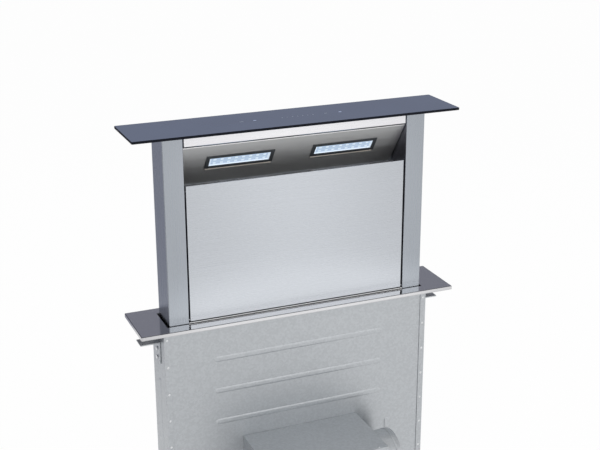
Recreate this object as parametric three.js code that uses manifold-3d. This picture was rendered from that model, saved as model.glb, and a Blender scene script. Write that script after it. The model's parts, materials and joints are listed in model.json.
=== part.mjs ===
// A rising downdraft vent: a mast that climbs on two racks out of a flat mounting surface,
// with its chassis, grease filters, blower and duct outlet below that surface.
// Millimetres, +Z up, +Y away from the cook. The origin is the middle of the front seal strip's
// underside, where the deck rests on the surface. The mast is shown fully raised.
import * as THREE from 'three';
import { mergeVertices } from 'three/addons/utils/BufferGeometryUtils.js';
import Module from 'manifold-3d';

const wasm = await Module();
wasm.setup();

// ---- Driving dimensions -----------------------------------------------------------------

// Clearances
const FIT = 0.3; // between two pieces that touch
const RUNNING_GAP = 5; // between fixed and moving pieces that only pass each other

// Mast, raised
const MAST_WIDTH = 706;
const MAST_DEPTH = 94;
const COLUMN_FACE = 52;
const COLUMN_WALL = 1.5;
const COLUMN_CORNER = 2;
const SHEET = 1.2; // stainless sheet of the mast's panels
const FACE_INSET = 1; // of fascia, skirt and back, from the columns' faces
const FASCIA_REVEAL = 3; // gap between the fascia and a column
const MAST_TAIL = 140; // length of mast that stays below the deck's top
const LIFT_TRAVEL = 490;
const CLOSED_GAP = 1; // under the glass when the mast is down
const RETURN_DEPTH = 12; // folded edge of the mast's back and skirt

// Glass top and what is under it
const GLASS_THICKNESS = 6;
const GLASS_CORNER = 2.5;
const GLASS_POLISH = 0.6; // polished chamfer round the glass
const SIDE_OVERHANG = 82; // glass past the mast, left and right
const EDGE_OVERHANG = 36; // glass past the mast, front and back
const CARRIER_THICKNESS = 2.5;
const TOUCH_BOARD_WIDTH = 300;
const TOUCH_BOARD_DEPTH = 44;
const TOUCH_BOARD_HEIGHT = 12;

// Intake recess and lamps
const FASCIA_HEIGHT = 27.5;
const FASCIA_FLANGE = 25;
const INTAKE_HEIGHT = 99;
const LIGHT_SEAM = 4; // gap between fascia and light panel, along the slope
const LIGHT_TILT = THREE.MathUtils.degToRad(36); // of the light panel, from upright
const LAMP_WIDTH = 180;
const LAMP_HEIGHT = 46;
const LAMP_RIM = 2; // bezel proud of the light panel
const LENS_WIDTH = 160;
const LENS_HEIGHT = 29;
const LENS_THICKNESS = 3;
const LENS_RECESS = 1.5; // lens behind the bezel's face
const LAMP_SLEEVE_WALL = 4;
const LAMP_SLEEVE_DEPTH = 14;
const LAMP_SPACING = 284; // between the two lamps' centres
const LAMP_DOWN = 70; // lamp centre from the light panel's top edge, along the slope
const LED_BOARD = 1.6;
const LED_SIZE = 5;
const LED_HEIGHT = 1.4;
const LED_COUNT = 8; // in each of a lamp's two rows

// Front panel
const PANEL_INSET = 2.5; // of its face, from the columns' front
const PANEL_REVEAL = 4; // gap between the panel and a column
const PANEL_SILL = 5.5; // panel's bottom edge above the deck
const PANEL_DEPTH = 12.5;
const PANEL_TILT_ROOM = 2.5; // between the skirt and the panel's bottom edge
const PANEL_PIN_RADIUS = 2.5;
const PANEL_PIN_INSET = 4; // pin axis behind the panel's face
const PANEL_PIN_RISE = 3.5; // pin axis above the panel's bottom edge
const PANEL_PIN_HEAD_RADIUS = 3.5;
const PANEL_PIN_HEAD = 2;
const PANEL_PIN_REACH = 1; // of the pin past the panel's folded side
const LINER_ABOVE_PIN = 5;
const LINER_SHEET = 1;

// Grease filters
const LEDGE_DEPTH = 37;
const LEDGE_LIP = 6;
const FILTER_THICKNESS = 9;
const FILTER_BORDER = 15;
const FILTER_MESH = 3;
const FILTER_FOOT = 11; // filter's foot in front of the ledge's lip
const FILTER_HANDLE_WIDTH = 60;
const FILTER_HANDLE_HEIGHT = 10;
const FILTER_HANDLE_DEPTH = 6;
const FILTER_HANDLE_DROP = 40;

// Lift
const GEAR_MODULE = 3;
const PINION_TEETH = 14;
const GEAR_PRESSURE_ANGLE = THREE.MathUtils.degToRad(20);
const GEAR_ADDENDUM = 0.8; // of the module
const GEAR_DEDENDUM = 1.05; // of the module
const GEAR_BACKLASH = 0.2;
const GEAR_WIDTH = 9;
const GEAR_SIDE_GAP = 1.3; // between a pinion and the chassis side
const RACK_BACK = 7; // behind the root of the teeth
const RACK_RUN_OUT = 12; // past the pinion at either end
const SHAFT_RADIUS = 5;
const SHAFT_CLEARANCE = 1; // where the shaft passes through a wall
const SHAFT_RISE = 30; // above the mast's bottom end
const SHAFT_DEPTH = 52; // behind the mast's front
const BUSH_RADIUS = 7;
const BUSH_FLANGE_RADIUS = 10;
const BUSH_FLANGE = 2;
const BUSH_LENGTH = 8;
const BASE_WALL = 3;
const BASE_HEIGHT = 45;
const GEARBOX_WIDTH = 70;
const GEARBOX_DEPTH = 48;
const GEARBOX_HEIGHT = 52;
const LIFT_MOTOR_RADIUS = 20;
const LIFT_MOTOR_LENGTH = 70;
const LIFT_MOTOR_FORWARD = 5; // motor axis in front of the shaft

// Slide shoes and guide rails
const RAIL_WALL = 2;
const RAIL_WIDTH = 24;
const RAIL_HEIGHT = 10;
const RAIL_FRONT = 3; // behind the mast's front
const SHOE_LENGTH = 100;
const SHOE_FOOT = 5; // above the mast's bottom end

// Chassis
const CHASSIS_SHEET = 1.5;
const SLOT_GAP = 3; // in front of the mast and behind it, in the deck
const SLOT_SIDE_GAP = 6; // at the mast's sides, in the deck
const SIDE_ROOM = 16; // between a column and a chassis side
const FLOOR_CLEARANCE = 30; // under the lowered mast
const CHASSIS_FLANGE = 11;
const LIP_RELIEF = 6; // a side's lip stops this far from the chassis's corners
const CORNER_FLANGE = 16;
const INLET_RADIUS = 85;

// Deck and seals
const DECK_HEIGHT = 10;
const DECK_SHEET = 1.5;
const DECK_CORNER = 2;
const SEAL_WIDTH = 18;
const WIPER_HEIGHT = 8;
const WIPER_DROP = 6; // of its top, below the mounting surface
const WIPER_GAP = 0.4; // round the mast

// Clamps and feet
const WORKTOP_THICKNESS = 40;
const CLAMP_WIDTH = 40;
const CLAMP_ARM = 52;
const CLAMP_LEG = 60;
const CLAMP_SHEET = 3;
const FOOT_HEIGHT = 48;
const FOOT_PAD_RADIUS = 20;
const FOOT_PAD_HEIGHT = 8;
const FOOT_CONE = 2;
const FOOT_STEM_RADIUS = 5;
const FOOT_NUT_RADIUS = 9;
const FOOT_NUT_HEIGHT = 8;
const FOOT_SIDE_INSET = 40; // rear feet, from the chassis sides
const FOOT_BACK_INSET = 24; // rear feet, from the chassis back
const FRONT_FOOT_INSET = 28; // front feet, from the blower housing's corner

// Blower
const HOUSING_WIDTH = 330;
const HOUSING_HEIGHT = 316;
const COVER_LIP = 8;
const IMPELLER_RADIUS = 90;
const IMPELLER_WIDTH = 84;
const IMPELLER_EYE_RADIUS = 74;
const BLADE_COUNT = 30;
const BLADE_THICKNESS = 1.2;
const BLADE_LEAN = 0.16; // forward lean of a blade's tip, radians
const BLADE_INSET = 1; // of the blades, from the plate's rim and the ring's eye
const IMPELLER_PLATE = 2;
const IMPELLER_RING = 4;
const HUB_RADIUS = 14;
const HUB_LENGTH = 26;
const MOTOR_SHAFT_RADIUS = 4;
const MOTOR_RADIUS = 45;
const MOTOR_LENGTH = 40;
const MOTOR_GAP = 3.7; // between the motor and the blower's cover
const MOTOR_SHAFT_HOLE = 7; // radius, in the scroll
const SCROLL_WALL = 2;
const SCROLL_DEPTH = 112;
const SCROLL_START_GAP = 8; // between impeller and scroll at the tongue
const SCROLL_GROWTH = 50;
const SCROLL_TONGUE = THREE.MathUtils.degToRad(30);
const SCROLL_END = THREE.MathUtils.degToRad(-270);
const SCROLL_STEPS = 36;
const SCROLL_CLEARANCE = 4; // between scroll and housing

// Duct outlet
const OUTLET_RADIUS = 74.5;
const OUTLET_WALL = 1.5;
const OUTLET_LENGTH = 60;
const OUTLET_FLANGE = 172;
const OUTLET_FLANGE_SHEET = 2;
const SPINDLE_RADIUS = 2;
const SPINDLE_FROM_FLANGE = 14;
const FLAP_THICKNESS = 1.2;
const FLAP_GAP = 1.5; // between a flap's rim and the collar
const KNUCKLE_WALL = 1.2;
const KNUCKLE_SIDE_GAP = 1; // between neighbouring knuckles
const KNUCKLE_END_GAP = 4; // between the lowest knuckle and the collar

// Control box
const BOX_WIDTH = 150;
const BOX_DEPTH = 45;
const BOX_HEIGHT = 120;
const BOX_WALL = 2;
const BOX_FROM_HOUSING = 18;
const BOX_LIFT = 60; // above the chassis floor
const LID_THICKNESS = 3;
const GLAND_RADIUS = 10;
const GLAND_NUT_RADIUS = 13;
const GLAND_LENGTH = 20;
const GLAND_NUT = 6;
const GLAND_NOSE_STEP = 1; // nose slimmer than the thread
const LEAD_RADIUS = 4; // of the lead that the gland takes

const ROUND = 28; // sides of a small round piece
const ROUND_LARGE = 48; // sides of a large one
const ROUND_FINE = 16; // sides of the damper's spindle and knuckles

// Making of joined and cut pieces
const CUT_PAST = 1; // how far a cutter reaches past what it cuts
const JOIN_DEPTH = 1; // how far joined shapes reach into each other

// ---- Derived places ---------------------------------------------------------------------
// The mast's own frame has y = 0 on the columns' front and z = 0 at the deck's top.

const halfMast = MAST_WIDTH / 2;
const halfOpening = halfMast - COLUMN_FACE; // between the columns
const halfFascia = halfOpening - FASCIA_REVEAL;
const halfPanel = halfOpening - PANEL_REVEAL;
const insideFolds = halfOpening - SHEET - 2 * FIT; // between the side folds of back and skirt
const glassUnder = LIFT_TRAVEL + CLOSED_GAP;
const columnTop = glassUnder - CARRIER_THICKNESS - 2 * FIT;
const fasciaBottom = columnTop - FASCIA_HEIGHT;
const panelTop = fasciaBottom - INTAKE_HEIGHT;
const skirtTop = PANEL_SILL - PANEL_TILT_ROOM;
const backFace = MAST_DEPTH - FACE_INSET - SHEET; // inner face of the mast's back

// The light panel starts behind the fascia and ends just short of the back.
const lightStartY = FACE_INSET + SHEET + FIT;
const lightRun = (backFace - FIT - lightStartY - SHEET * Math.cos(LIGHT_TILT)) / Math.sin(LIGHT_TILT);
const lightEnd = fasciaBottom - lightRun * Math.cos(LIGHT_TILT);

// The filters lean from the skirt's ledge to the back, under the light panel.
const filterFootY = FACE_INSET + LEDGE_DEPTH - SHEET - FILTER_FOOT;
const filterRun = backFace - FIT - FILTER_THICKNESS - filterFootY;
const filterRise = lightEnd - SHEET - FIT - skirtTop;
const filterLean = Math.atan2(filterRun, filterRise);
const filterFootZ = skirtTop + FIT + FILTER_THICKNESS * Math.sin(filterLean);
const filterLength = (lightEnd - RUNNING_GAP - filterFootZ) / Math.cos(filterLean);
const filterWidth = insideFolds - FIT;

const panelPinY = PANEL_INSET + PANEL_PIN_INSET;
const panelPinZ = PANEL_SILL + PANEL_PIN_RISE;

// Lift, in the mast's frame
const shaftZ = SHAFT_RISE - MAST_TAIL;
const pitchRadius = (GEAR_MODULE * PINION_TEETH) / 2;
const toothPitch = Math.PI * GEAR_MODULE;
const halfChassis = halfMast + SIDE_ROOM; // inner face of a chassis side
const pinionOuter = halfChassis - GEAR_SIDE_GAP;
const pinionInner = pinionOuter - GEAR_WIDTH;
const pitchLineY = SHAFT_DEPTH + pitchRadius;

// Chassis, in the frame with z = 0 on the mounting surface
const chassisFront = -SLOT_GAP;
const chassisBack = MAST_DEPTH + SLOT_GAP;
const chassisTop = DECK_HEIGHT - DECK_SHEET - FIT;
const chassisFloor = DECK_HEIGHT - MAST_TAIL - LIFT_TRAVEL - FLOOR_CLEARANCE;
const baseUnder = chassisFloor - FIT - CHASSIS_SHEET;
const shaftHeight = DECK_HEIGHT + shaftZ; // pinion axis, mast raised

// Deck: the same outline as the glass, which closes over it
const deckHalf = halfMast + SIDE_OVERHANG;
const deckFront = -EDGE_OVERHANG;
const deckBack = MAST_DEPTH + EDGE_OVERHANG;
const sealInset = DECK_SHEET + FIT;
const sealStripY = deckFront + sealInset + SEAL_WIDTH / 2;

// Blower, in the same frame as the chassis
const housingBack = chassisFront - CHASSIS_SHEET - FIT;
const housingDepth = SCROLL_DEPTH + 2 * (FIT + MOTOR_LENGTH + MOTOR_GAP); // scroll in its middle
const housingFront = housingBack - housingDepth;
const housingHalf = HOUSING_WIDTH / 2;
const housingBottom = baseUnder;
const housingTop = housingBottom + HOUSING_HEIGHT;
const scrollStart = IMPELLER_RADIUS + SCROLL_START_GAP;
const scrollEnd = scrollStart + SCROLL_GROWTH;
const scrollRadius = (angle) =>
  scrollStart + (SCROLL_GROWTH * (SCROLL_TONGUE - angle)) / (SCROLL_TONGUE - SCROLL_END);
const tongueZ = scrollStart * Math.sin(SCROLL_TONGUE);
const blowerZ =
  housingBottom + CHASSIS_SHEET + SCROLL_CLEARANCE + SCROLL_WALL + scrollRadius(-Math.PI / 2);
const outletZ = blowerZ + (tongueZ + scrollEnd) / 2;
const outletY = (housingFront + housingBack) / 2;
const scrollBack = outletY + SCROLL_DEPTH / 2;
const scrollFront = outletY - SCROLL_DEPTH / 2;
const collarFace = housingHalf + FIT; // outer side of the housing's right wall
const spindleX = collarFace + OUTLET_FLANGE_SHEET + SPINDLE_FROM_FLANGE;
const impellerFront = scrollFront + SCROLL_WALL + RUNNING_GAP;

// ---- Materials --------------------------------------------------------------------------

function finish(color, roughness, metalness) {
  return new THREE.MeshStandardMaterial({ color, roughness, metalness });
}

const darkGlass = finish(0x2b303a, 0.08, 0);
const stainless = finish(0xb9bdc4, 0.32, 1);
const zincSteel = finish(0xa9adb0, 0.5, 1);
const aluminium = finish(0xc4c7ca, 0.45, 1);
const gearSteel = finish(0x7c7f84, 0.35, 1);
const motorPaint = finish(0x2a2c2e, 0.5, 0.2);
const bronze = finish(0xa9783e, 0.4, 1);
const blackPlastic = finish(0x1d1e20, 0.5, 0);
const greyPlastic = finish(0x6d7175, 0.6, 0);
const whiteAcetal = finish(0xe4e3dc, 0.5, 0);
const blackRubber = finish(0x17181a, 0.9, 0);
const clearLens = finish(0xdfe9f2, 0.15, 0);
const ledBoard = finish(0xf4f6f2, 0.6, 0);
const greenBoard = finish(0x24563a, 0.6, 0);

// ---- Shape helpers ----------------------------------------------------------------------

// A straight prism: an outline in the two axes after `axis` (x: y,z; y: x,z; z: x,y).
function prism(axis, outline, from, to, holes = []) {
  const turned = (points) => (axis === 'y' ? points.map(([a, b]) => [b, a]).reverse() : points);
  const shape = new THREE.Shape(turned(outline).map(([a, b]) => new THREE.Vector2(a, b)));
  for (const hole of holes) {
    shape.holes.push(new THREE.Path(turned(hole).map(([a, b]) => new THREE.Vector2(a, b))));
  }
  const geometry = new THREE.ExtrudeGeometry(shape, { depth: to - from, bevelEnabled: false });
  geometry.translate(0, 0, from);
  const [x, y, z] = [new THREE.Vector3(1, 0, 0), new THREE.Vector3(0, 1, 0), new THREE.Vector3(0, 0, 1)];
  if (axis === 'x') geometry.applyMatrix4(new THREE.Matrix4().makeBasis(y, z, x));
  if (axis === 'y') geometry.applyMatrix4(new THREE.Matrix4().makeBasis(z, x, y));
  return geometry;
}

function rectangle(a0, a1, b0, b1) {
  return [[a0, b0], [a1, b0], [a1, b1], [a0, b1]];
}

function roundedRectangle(a0, a1, b0, b1, radius, steps = 3) {
  const corners = [[a1, b1], [a0, b1], [a0, b0], [a1, b0]];
  const points = [];
  corners.forEach(([a, b], quarter) => {
    const centreA = a - Math.sign(a - (a0 + a1) / 2) * radius;
    const centreB = b - Math.sign(b - (b0 + b1) / 2) * radius;
    for (let step = 0; step <= steps; step += 1) {
      const angle = (quarter + step / steps) * (Math.PI / 2);
      points.push([centreA + radius * Math.cos(angle), centreB + radius * Math.sin(angle)]);
    }
  });
  return points;
}

function circle(a, b, radius, sides = ROUND) {
  return Array.from({ length: sides }, (_, i) => {
    const angle = (i / sides) * Math.PI * 2;
    return [a + radius * Math.cos(angle), b + radius * Math.sin(angle)];
  });
}

function block(x0, x1, y0, y1, z0, z1) {
  const geometry = new THREE.BoxGeometry(x1 - x0, y1 - y0, z1 - z0);
  geometry.translate((x0 + x1) / 2, (y0 + y1) / 2, (z0 + z1) / 2);
  return geometry;
}

function rod(axis, a, b, radius, from, to, sides = ROUND) {
  return prism(axis, circle(a, b, radius, sides), from, to);
}

function toSolid(geometry) {
  const bare = new THREE.BufferGeometry();
  bare.setAttribute('position', geometry.getAttribute('position').clone());
  if (geometry.index) bare.setIndex(geometry.index.clone());
  const merged = mergeVertices(bare, 1e-4);
  return new wasm.Manifold(
    new wasm.Mesh({
      numProp: 3,
      vertProperties: merged.getAttribute('position').array,
      triVerts: new Uint32Array(merged.index.array),
    }),
  );
}

function toGeometry(solid) {
  const mesh = solid.getMesh();
  const geometry = new THREE.BufferGeometry();
  geometry.setAttribute('position', new THREE.BufferAttribute(mesh.vertProperties, 3));
  geometry.setIndex(new THREE.BufferAttribute(mesh.triVerts, 1));
  geometry.computeVertexNormals();
  return geometry;
}

// Joins the first list of geometries and cuts the second list out of them.
function build(parts, cuts = []) {
  let solid = parts.map(toSolid).reduce((whole, next) => whole.add(next));
  for (const cutter of cuts) solid = solid.subtract(toSolid(cutter));
  return toGeometry(solid);
}

// The mirror image across x = 0. Each triangle's corners are taken in reverse, so it still faces out.
function mirrored(geometry) {
  const corners = (geometry.index ? geometry.toNonIndexed() : geometry).getAttribute('position');
  const points = [];
  for (let corner = 0; corner < corners.count; corner += 1) {
    const from = corner + 2 - 2 * (corner % 3);
    points.push(new THREE.Vector3(-corners.getX(from), corners.getY(from), corners.getZ(from)));
  }
  const image = new THREE.BufferGeometry().setFromPoints(points);
  image.computeVertexNormals();
  return image;
}

function add(group, name, geometry, material) {
  const mesh = new THREE.Mesh(geometry, material);
  mesh.name = name;
  group.add(mesh);
  return mesh;
}

// A piece on the right of the centre line and its mirror image on the left.
function addPair(group, name, geometry, material) {
  add(group, `right_${name}`, geometry, material);
  add(group, `left_${name}`, mirrored(geometry), material);
}

const vent = new THREE.Group();
const chassis = new THREE.Group(); // z = 0 on the mounting surface, y = 0 on the mast's front
chassis.position.y = -sealStripY;
vent.add(chassis);
const mast = new THREE.Group();
mast.position.z = DECK_HEIGHT;
chassis.add(mast);

// ---- Glass top, its carrier and the touch board -----------------------------------------

function glassTop() {
  const outline = roundedRectangle(
    GLASS_POLISH - deckHalf, deckHalf - GLASS_POLISH,
    deckFront + GLASS_POLISH, deckBack - GLASS_POLISH, GLASS_CORNER,
  );
  const shape = new THREE.Shape(outline.map(([x, y]) => new THREE.Vector2(x, y)));
  const geometry = new THREE.ExtrudeGeometry(shape, {
    depth: GLASS_THICKNESS - 2 * GLASS_POLISH,
    bevelEnabled: true,
    bevelThickness: GLASS_POLISH,
    bevelSize: GLASS_POLISH,
    bevelSegments: 1,
  });
  geometry.translate(0, 0, glassUnder + GLASS_POLISH);
  return geometry;
}

const boardFront = (MAST_DEPTH - TOUCH_BOARD_DEPTH) / 2;
const boardBack = boardFront + TOUCH_BOARD_DEPTH;

function glassCarrier() {
  const outline = roundedRectangle(-halfMast, halfMast, 0, MAST_DEPTH, COLUMN_CORNER);
  const window = rectangle(
    -TOUCH_BOARD_WIDTH / 2 - FIT, TOUCH_BOARD_WIDTH / 2 + FIT, boardFront - FIT, boardBack + FIT,
  );
  return prism('z', outline, glassUnder - FIT - CARRIER_THICKNESS, glassUnder - FIT, [window]);
}

function touchBoard() {
  const top = glassUnder - FIT;
  return block(
    -TOUCH_BOARD_WIDTH / 2, TOUCH_BOARD_WIDTH / 2, boardFront, boardBack, top - TOUCH_BOARD_HEIGHT, top,
  );
}

add(mast, 'glass_top', glassTop(), darkGlass);
add(mast, 'glass_carrier', glassCarrier(), zincSteel);
add(mast, 'touch_control_board', touchBoard(), greenBoard);

// ---- Mast columns, back, fascia and skirt -----------------------------------------------

function rightColumn() {
  const outside = roundedRectangle(halfOpening, halfMast, 0, MAST_DEPTH, COLUMN_CORNER);
  const inside = rectangle(
    halfOpening + COLUMN_WALL, halfMast - COLUMN_WALL, COLUMN_WALL, MAST_DEPTH - COLUMN_WALL,
  );
  const tube = prism('z', outside, -MAST_TAIL, columnTop, [inside]);
  const middle = halfMast - COLUMN_FACE / 2;
  const inner = halfOpening - CUT_PAST;
  const bushHole = rod('x', SHAFT_DEPTH, shaftZ, BUSH_RADIUS + FIT, middle, halfMast + CUT_PAST);
  const shaftHole = rod('x', SHAFT_DEPTH, shaftZ, SHAFT_RADIUS + SHAFT_CLEARANCE, inner, middle);
  const pinHole = rod('x', panelPinY, panelPinZ, PANEL_PIN_RADIUS + FIT, inner, middle);
  return build([tube], [bushHole, shaftHole, pinHole]);
}

// Sheet between the columns with its two side edges folded towards the mast's middle.
function backPanel() {
  const half = halfOpening - FIT;
  const outer = MAST_DEPTH - FACE_INSET;
  const fold = outer - RETURN_DEPTH;
  const profile = [
    [-half, outer], [-half, fold], [SHEET - half, fold], [SHEET - half, backFace],
    [half - SHEET, backFace], [half - SHEET, fold], [half, fold], [half, outer],
  ];
  return prism('z', profile, -MAST_TAIL, columnTop);
}

function topFascia() {
  const profile = [
    [FACE_INSET, fasciaBottom], [FACE_INSET + SHEET, fasciaBottom],
    [FACE_INSET + SHEET, columnTop - SHEET], [FASCIA_FLANGE, columnTop - SHEET],
    [FASCIA_FLANGE, columnTop], [FACE_INSET, columnTop],
  ];
  return prism('x', profile, -halfFascia, halfFascia);
}

// The skirt closes the mast's front below the panel; its top folds back into the filters' ledge.
function frontSkirt() {
  const half = halfOpening - FIT;
  const ledgeBack = FACE_INSET + LEDGE_DEPTH;
  const profile = [
    [FACE_INSET, -MAST_TAIL], [FACE_INSET + SHEET, -MAST_TAIL],
    [FACE_INSET + SHEET, skirtTop - SHEET], [ledgeBack, skirtTop - SHEET],
    [ledgeBack, skirtTop + LEDGE_LIP], [ledgeBack - SHEET, skirtTop + LEDGE_LIP],
    [ledgeBack - SHEET, skirtTop], [FACE_INSET, skirtTop],
  ];
  const fold = block(half - SHEET, half, FACE_INSET, FACE_INSET + RETURN_DEPTH, -MAST_TAIL, skirtTop);
  return build([prism('x', profile, -half, half), fold, mirrored(fold)]);
}

addPair(mast, 'column', rightColumn(), stainless);
add(mast, 'mast_back_panel', backPanel(), stainless);
add(mast, 'top_fascia', topFascia(), stainless);
add(mast, 'front_skirt', frontSkirt(), stainless);

// ---- Light panel and lamps --------------------------------------------------------------
// The light panel's frame: x across, -z down the slope, +y into the mast.

const lightGroup = new THREE.Group();
lightGroup.position.set(0, lightStartY, fasciaBottom);
lightGroup.rotation.x = LIGHT_TILT;
mast.add(lightGroup);

const sleeveWidth = LENS_WIDTH + 2 * (FIT + LAMP_SLEEVE_WALL);
const sleeveHeight = LENS_HEIGHT + 2 * (FIT + LAMP_SLEEVE_WALL);

function centred(width, height, atX = 0, atZ = 0) {
  return rectangle(atX - width / 2, atX + width / 2, atZ - height / 2, atZ + height / 2);
}

function lightPanel() {
  const holes = [-1, 1].map((side) =>
    centred(sleeveWidth + 2 * FIT, sleeveHeight + 2 * FIT, (side * LAMP_SPACING) / 2, -LAMP_DOWN),
  );
  return prism('y', rectangle(-insideFolds, insideFolds, -lightRun, -LIGHT_SEAM), 0, SHEET, holes);
}

function lampBezel() {
  const opening = centred(LENS_WIDTH + 2 * FIT, LENS_HEIGHT + 2 * FIT);
  const rim = prism('y', centred(LAMP_WIDTH, LAMP_HEIGHT), -FIT - LAMP_RIM, -FIT, [opening]);
  const sleeve = prism('y', centred(sleeveWidth, sleeveHeight), -FIT, LAMP_SLEEVE_DEPTH, [opening]);
  return build([rim, sleeve]);
}

function lampLens() {
  const face = LENS_RECESS - FIT - LAMP_RIM;
  return prism('y', centred(LENS_WIDTH, LENS_HEIGHT), face, face + LENS_THICKNESS);
}

function lampBoard() {
  const front = LAMP_SLEEVE_DEPTH - LED_BOARD;
  const parts = [prism('y', centred(LENS_WIDTH, LENS_HEIGHT), front, LAMP_SLEEVE_DEPTH)];
  const pitch = LENS_WIDTH / LED_COUNT;
  for (let column = 0; column < LED_COUNT; column += 1) {
    for (const row of [-1, 1]) {
      const atX = (column + 0.5) * pitch - LENS_WIDTH / 2;
      const atZ = (row * LENS_HEIGHT) / 4;
      parts.push(prism('y', centred(LED_SIZE, LED_SIZE, atX, atZ), front - LED_HEIGHT, front));
    }
  }
  return build(parts);
}

add(lightGroup, 'light_panel', lightPanel(), stainless);
for (const [side, sign] of [['left', -1], ['right', 1]]) {
  const lamp = new THREE.Group();
  lamp.position.set((sign * LAMP_SPACING) / 2, 0, -LAMP_DOWN);
  lightGroup.add(lamp);
  add(lamp, `${side}_lamp_bezel`, lampBezel(), blackPlastic);
  add(lamp, `${side}_lamp_lens`, lampLens(), clearLens);
  add(lamp, `${side}_lamp_board`, lampBoard(), ledBoard);
}

// ---- Front panel: it tilts out on two pins at its foot ----------------------------------

const panelBack = PANEL_INSET + PANEL_DEPTH;

function frontPanel() {
  const inner = halfPanel - SHEET;
  const tray = block(-halfPanel, halfPanel, PANEL_INSET, panelBack, PANEL_SILL, panelTop);
  const hollow = block(
    -inner, inner, PANEL_INSET + SHEET, panelBack + CUT_PAST, PANEL_SILL - CUT_PAST, panelTop - SHEET,
  );
  const reach = halfPanel + CUT_PAST;
  const hole = rod('x', panelPinY, panelPinZ, PANEL_PIN_RADIUS + FIT, -reach, reach);
  return build([tray], [hollow, hole]);
}

function frontPanelLiner() {
  const half = halfPanel - SHEET - FIT;
  const bottom = panelPinZ + LINER_ABOVE_PIN;
  return block(-half, half, panelBack - LINER_SHEET, panelBack, bottom, panelTop - SHEET - FIT);
}

// Each pin is fixed in its column and carries one side of the panel.
function panelPin() {
  const headStart = halfOpening + COLUMN_WALL + FIT;
  const shank = rod(
    'x', panelPinY, panelPinZ, PANEL_PIN_RADIUS,
    halfPanel - SHEET - PANEL_PIN_REACH, headStart + JOIN_DEPTH,
  );
  const head = rod(
    'x', panelPinY, panelPinZ, PANEL_PIN_HEAD_RADIUS, headStart, headStart + PANEL_PIN_HEAD,
  );
  return build([shank, head]);
}

add(mast, 'front_panel', frontPanel(), stainless);
add(mast, 'front_panel_liner', frontPanelLiner(), zincSteel);
addPair(mast, 'panel_pin', panelPin(), gearSteel);

// ---- Grease filters ---------------------------------------------------------------------

function greaseFilter() {
  const half = filterWidth / 2;
  const innerHalf = half - FILTER_BORDER;
  const innerTop = filterLength - FILTER_BORDER;
  const pocket = (FILTER_THICKNESS - FILTER_MESH) / 2;
  const frame = block(-half, half, 0, FILTER_THICKNESS, 0, filterLength);
  const front = block(-innerHalf, innerHalf, -CUT_PAST, pocket, FILTER_BORDER, innerTop);
  const back = block(
    -innerHalf, innerHalf, FILTER_THICKNESS - pocket, FILTER_THICKNESS + CUT_PAST, FILTER_BORDER, innerTop,
  );
  const handleTop = filterLength - FILTER_HANDLE_DROP;
  const handle = block(
    -FILTER_HANDLE_WIDTH / 2, FILTER_HANDLE_WIDTH / 2,
    pocket - FILTER_HANDLE_DEPTH, pocket + JOIN_DEPTH, handleTop - FILTER_HANDLE_HEIGHT, handleTop,
  );
  return build([build([frame], [front, back]), handle]);
}

for (const [side, sign] of [['left', -1], ['right', 1]]) {
  const filter = add(mast, `${side}_grease_filter`, greaseFilter(), aluminium);
  filter.position.set(sign * (FIT + filterWidth / 2), filterFootY, filterFootZ);
  filter.rotation.x = -filterLean;
}

// ---- Mast base and lift -----------------------------------------------------------------

function mastBase() {
  const half = insideFolds;
  const front = FACE_INSET + SHEET + FIT;
  const back = backFace - FIT;
  const outline = rectangle(-half, half, front, back);
  const hole = rectangle(BASE_WALL - half, half - BASE_WALL, front + BASE_WALL, back - BASE_WALL);
  const ring = prism('z', outline, -MAST_TAIL, BASE_HEIGHT - MAST_TAIL, [hole]);
  const shelf = block(
    -GEARBOX_WIDTH / 2, GEARBOX_WIDTH / 2, front + JOIN_DEPTH, back - JOIN_DEPTH,
    -MAST_TAIL, BASE_WALL - MAST_TAIL,
  );
  const reach = half + CUT_PAST;
  const shaftHole = rod('x', SHAFT_DEPTH, shaftZ, SHAFT_RADIUS + SHAFT_CLEARANCE, -reach, reach);
  return build([ring, shelf], [shaftHole]);
}

function liftGearmotor() {
  const foot = BASE_WALL - MAST_TAIL + FIT;
  const front = SHAFT_DEPTH - GEARBOX_DEPTH / 2;
  const gearbox = block(
    -GEARBOX_WIDTH / 2, GEARBOX_WIDTH / 2, front, front + GEARBOX_DEPTH, foot, foot + GEARBOX_HEIGHT,
  );
  const motor = rod(
    'z', 0, SHAFT_DEPTH - LIFT_MOTOR_FORWARD, LIFT_MOTOR_RADIUS,
    foot + GEARBOX_HEIGHT - JOIN_DEPTH, foot + GEARBOX_HEIGHT + LIFT_MOTOR_LENGTH,
  );
  const bore = rod('x', SHAFT_DEPTH, shaftZ, SHAFT_RADIUS + FIT, -GEARBOX_WIDTH, GEARBOX_WIDTH);
  return build([gearbox, motor], [bore]);
}

function shaftBush() {
  const flangeStart = halfMast + FIT;
  const sleeve = rod('x', SHAFT_DEPTH, shaftZ, BUSH_RADIUS, halfMast - BUSH_LENGTH, flangeStart);
  const flange = rod(
    'x', SHAFT_DEPTH, shaftZ, BUSH_FLANGE_RADIUS, flangeStart, flangeStart + BUSH_FLANGE,
  );
  const bore = rod('x', SHAFT_DEPTH, shaftZ, SHAFT_RADIUS + FIT, halfOpening, halfChassis);
  return build([sleeve, flange], [bore]);
}

add(mast, 'mast_base_frame', mastBase(), zincSteel);
add(mast, 'lift_gearmotor', liftGearmotor(), motorPaint);
addPair(mast, 'shaft_bush', shaftBush(), bronze);
add(
  mast, 'lift_shaft',
  rod('x', SHAFT_DEPTH, shaftZ, SHAFT_RADIUS, -pinionOuter, pinionOuter), gearSteel,
);

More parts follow.
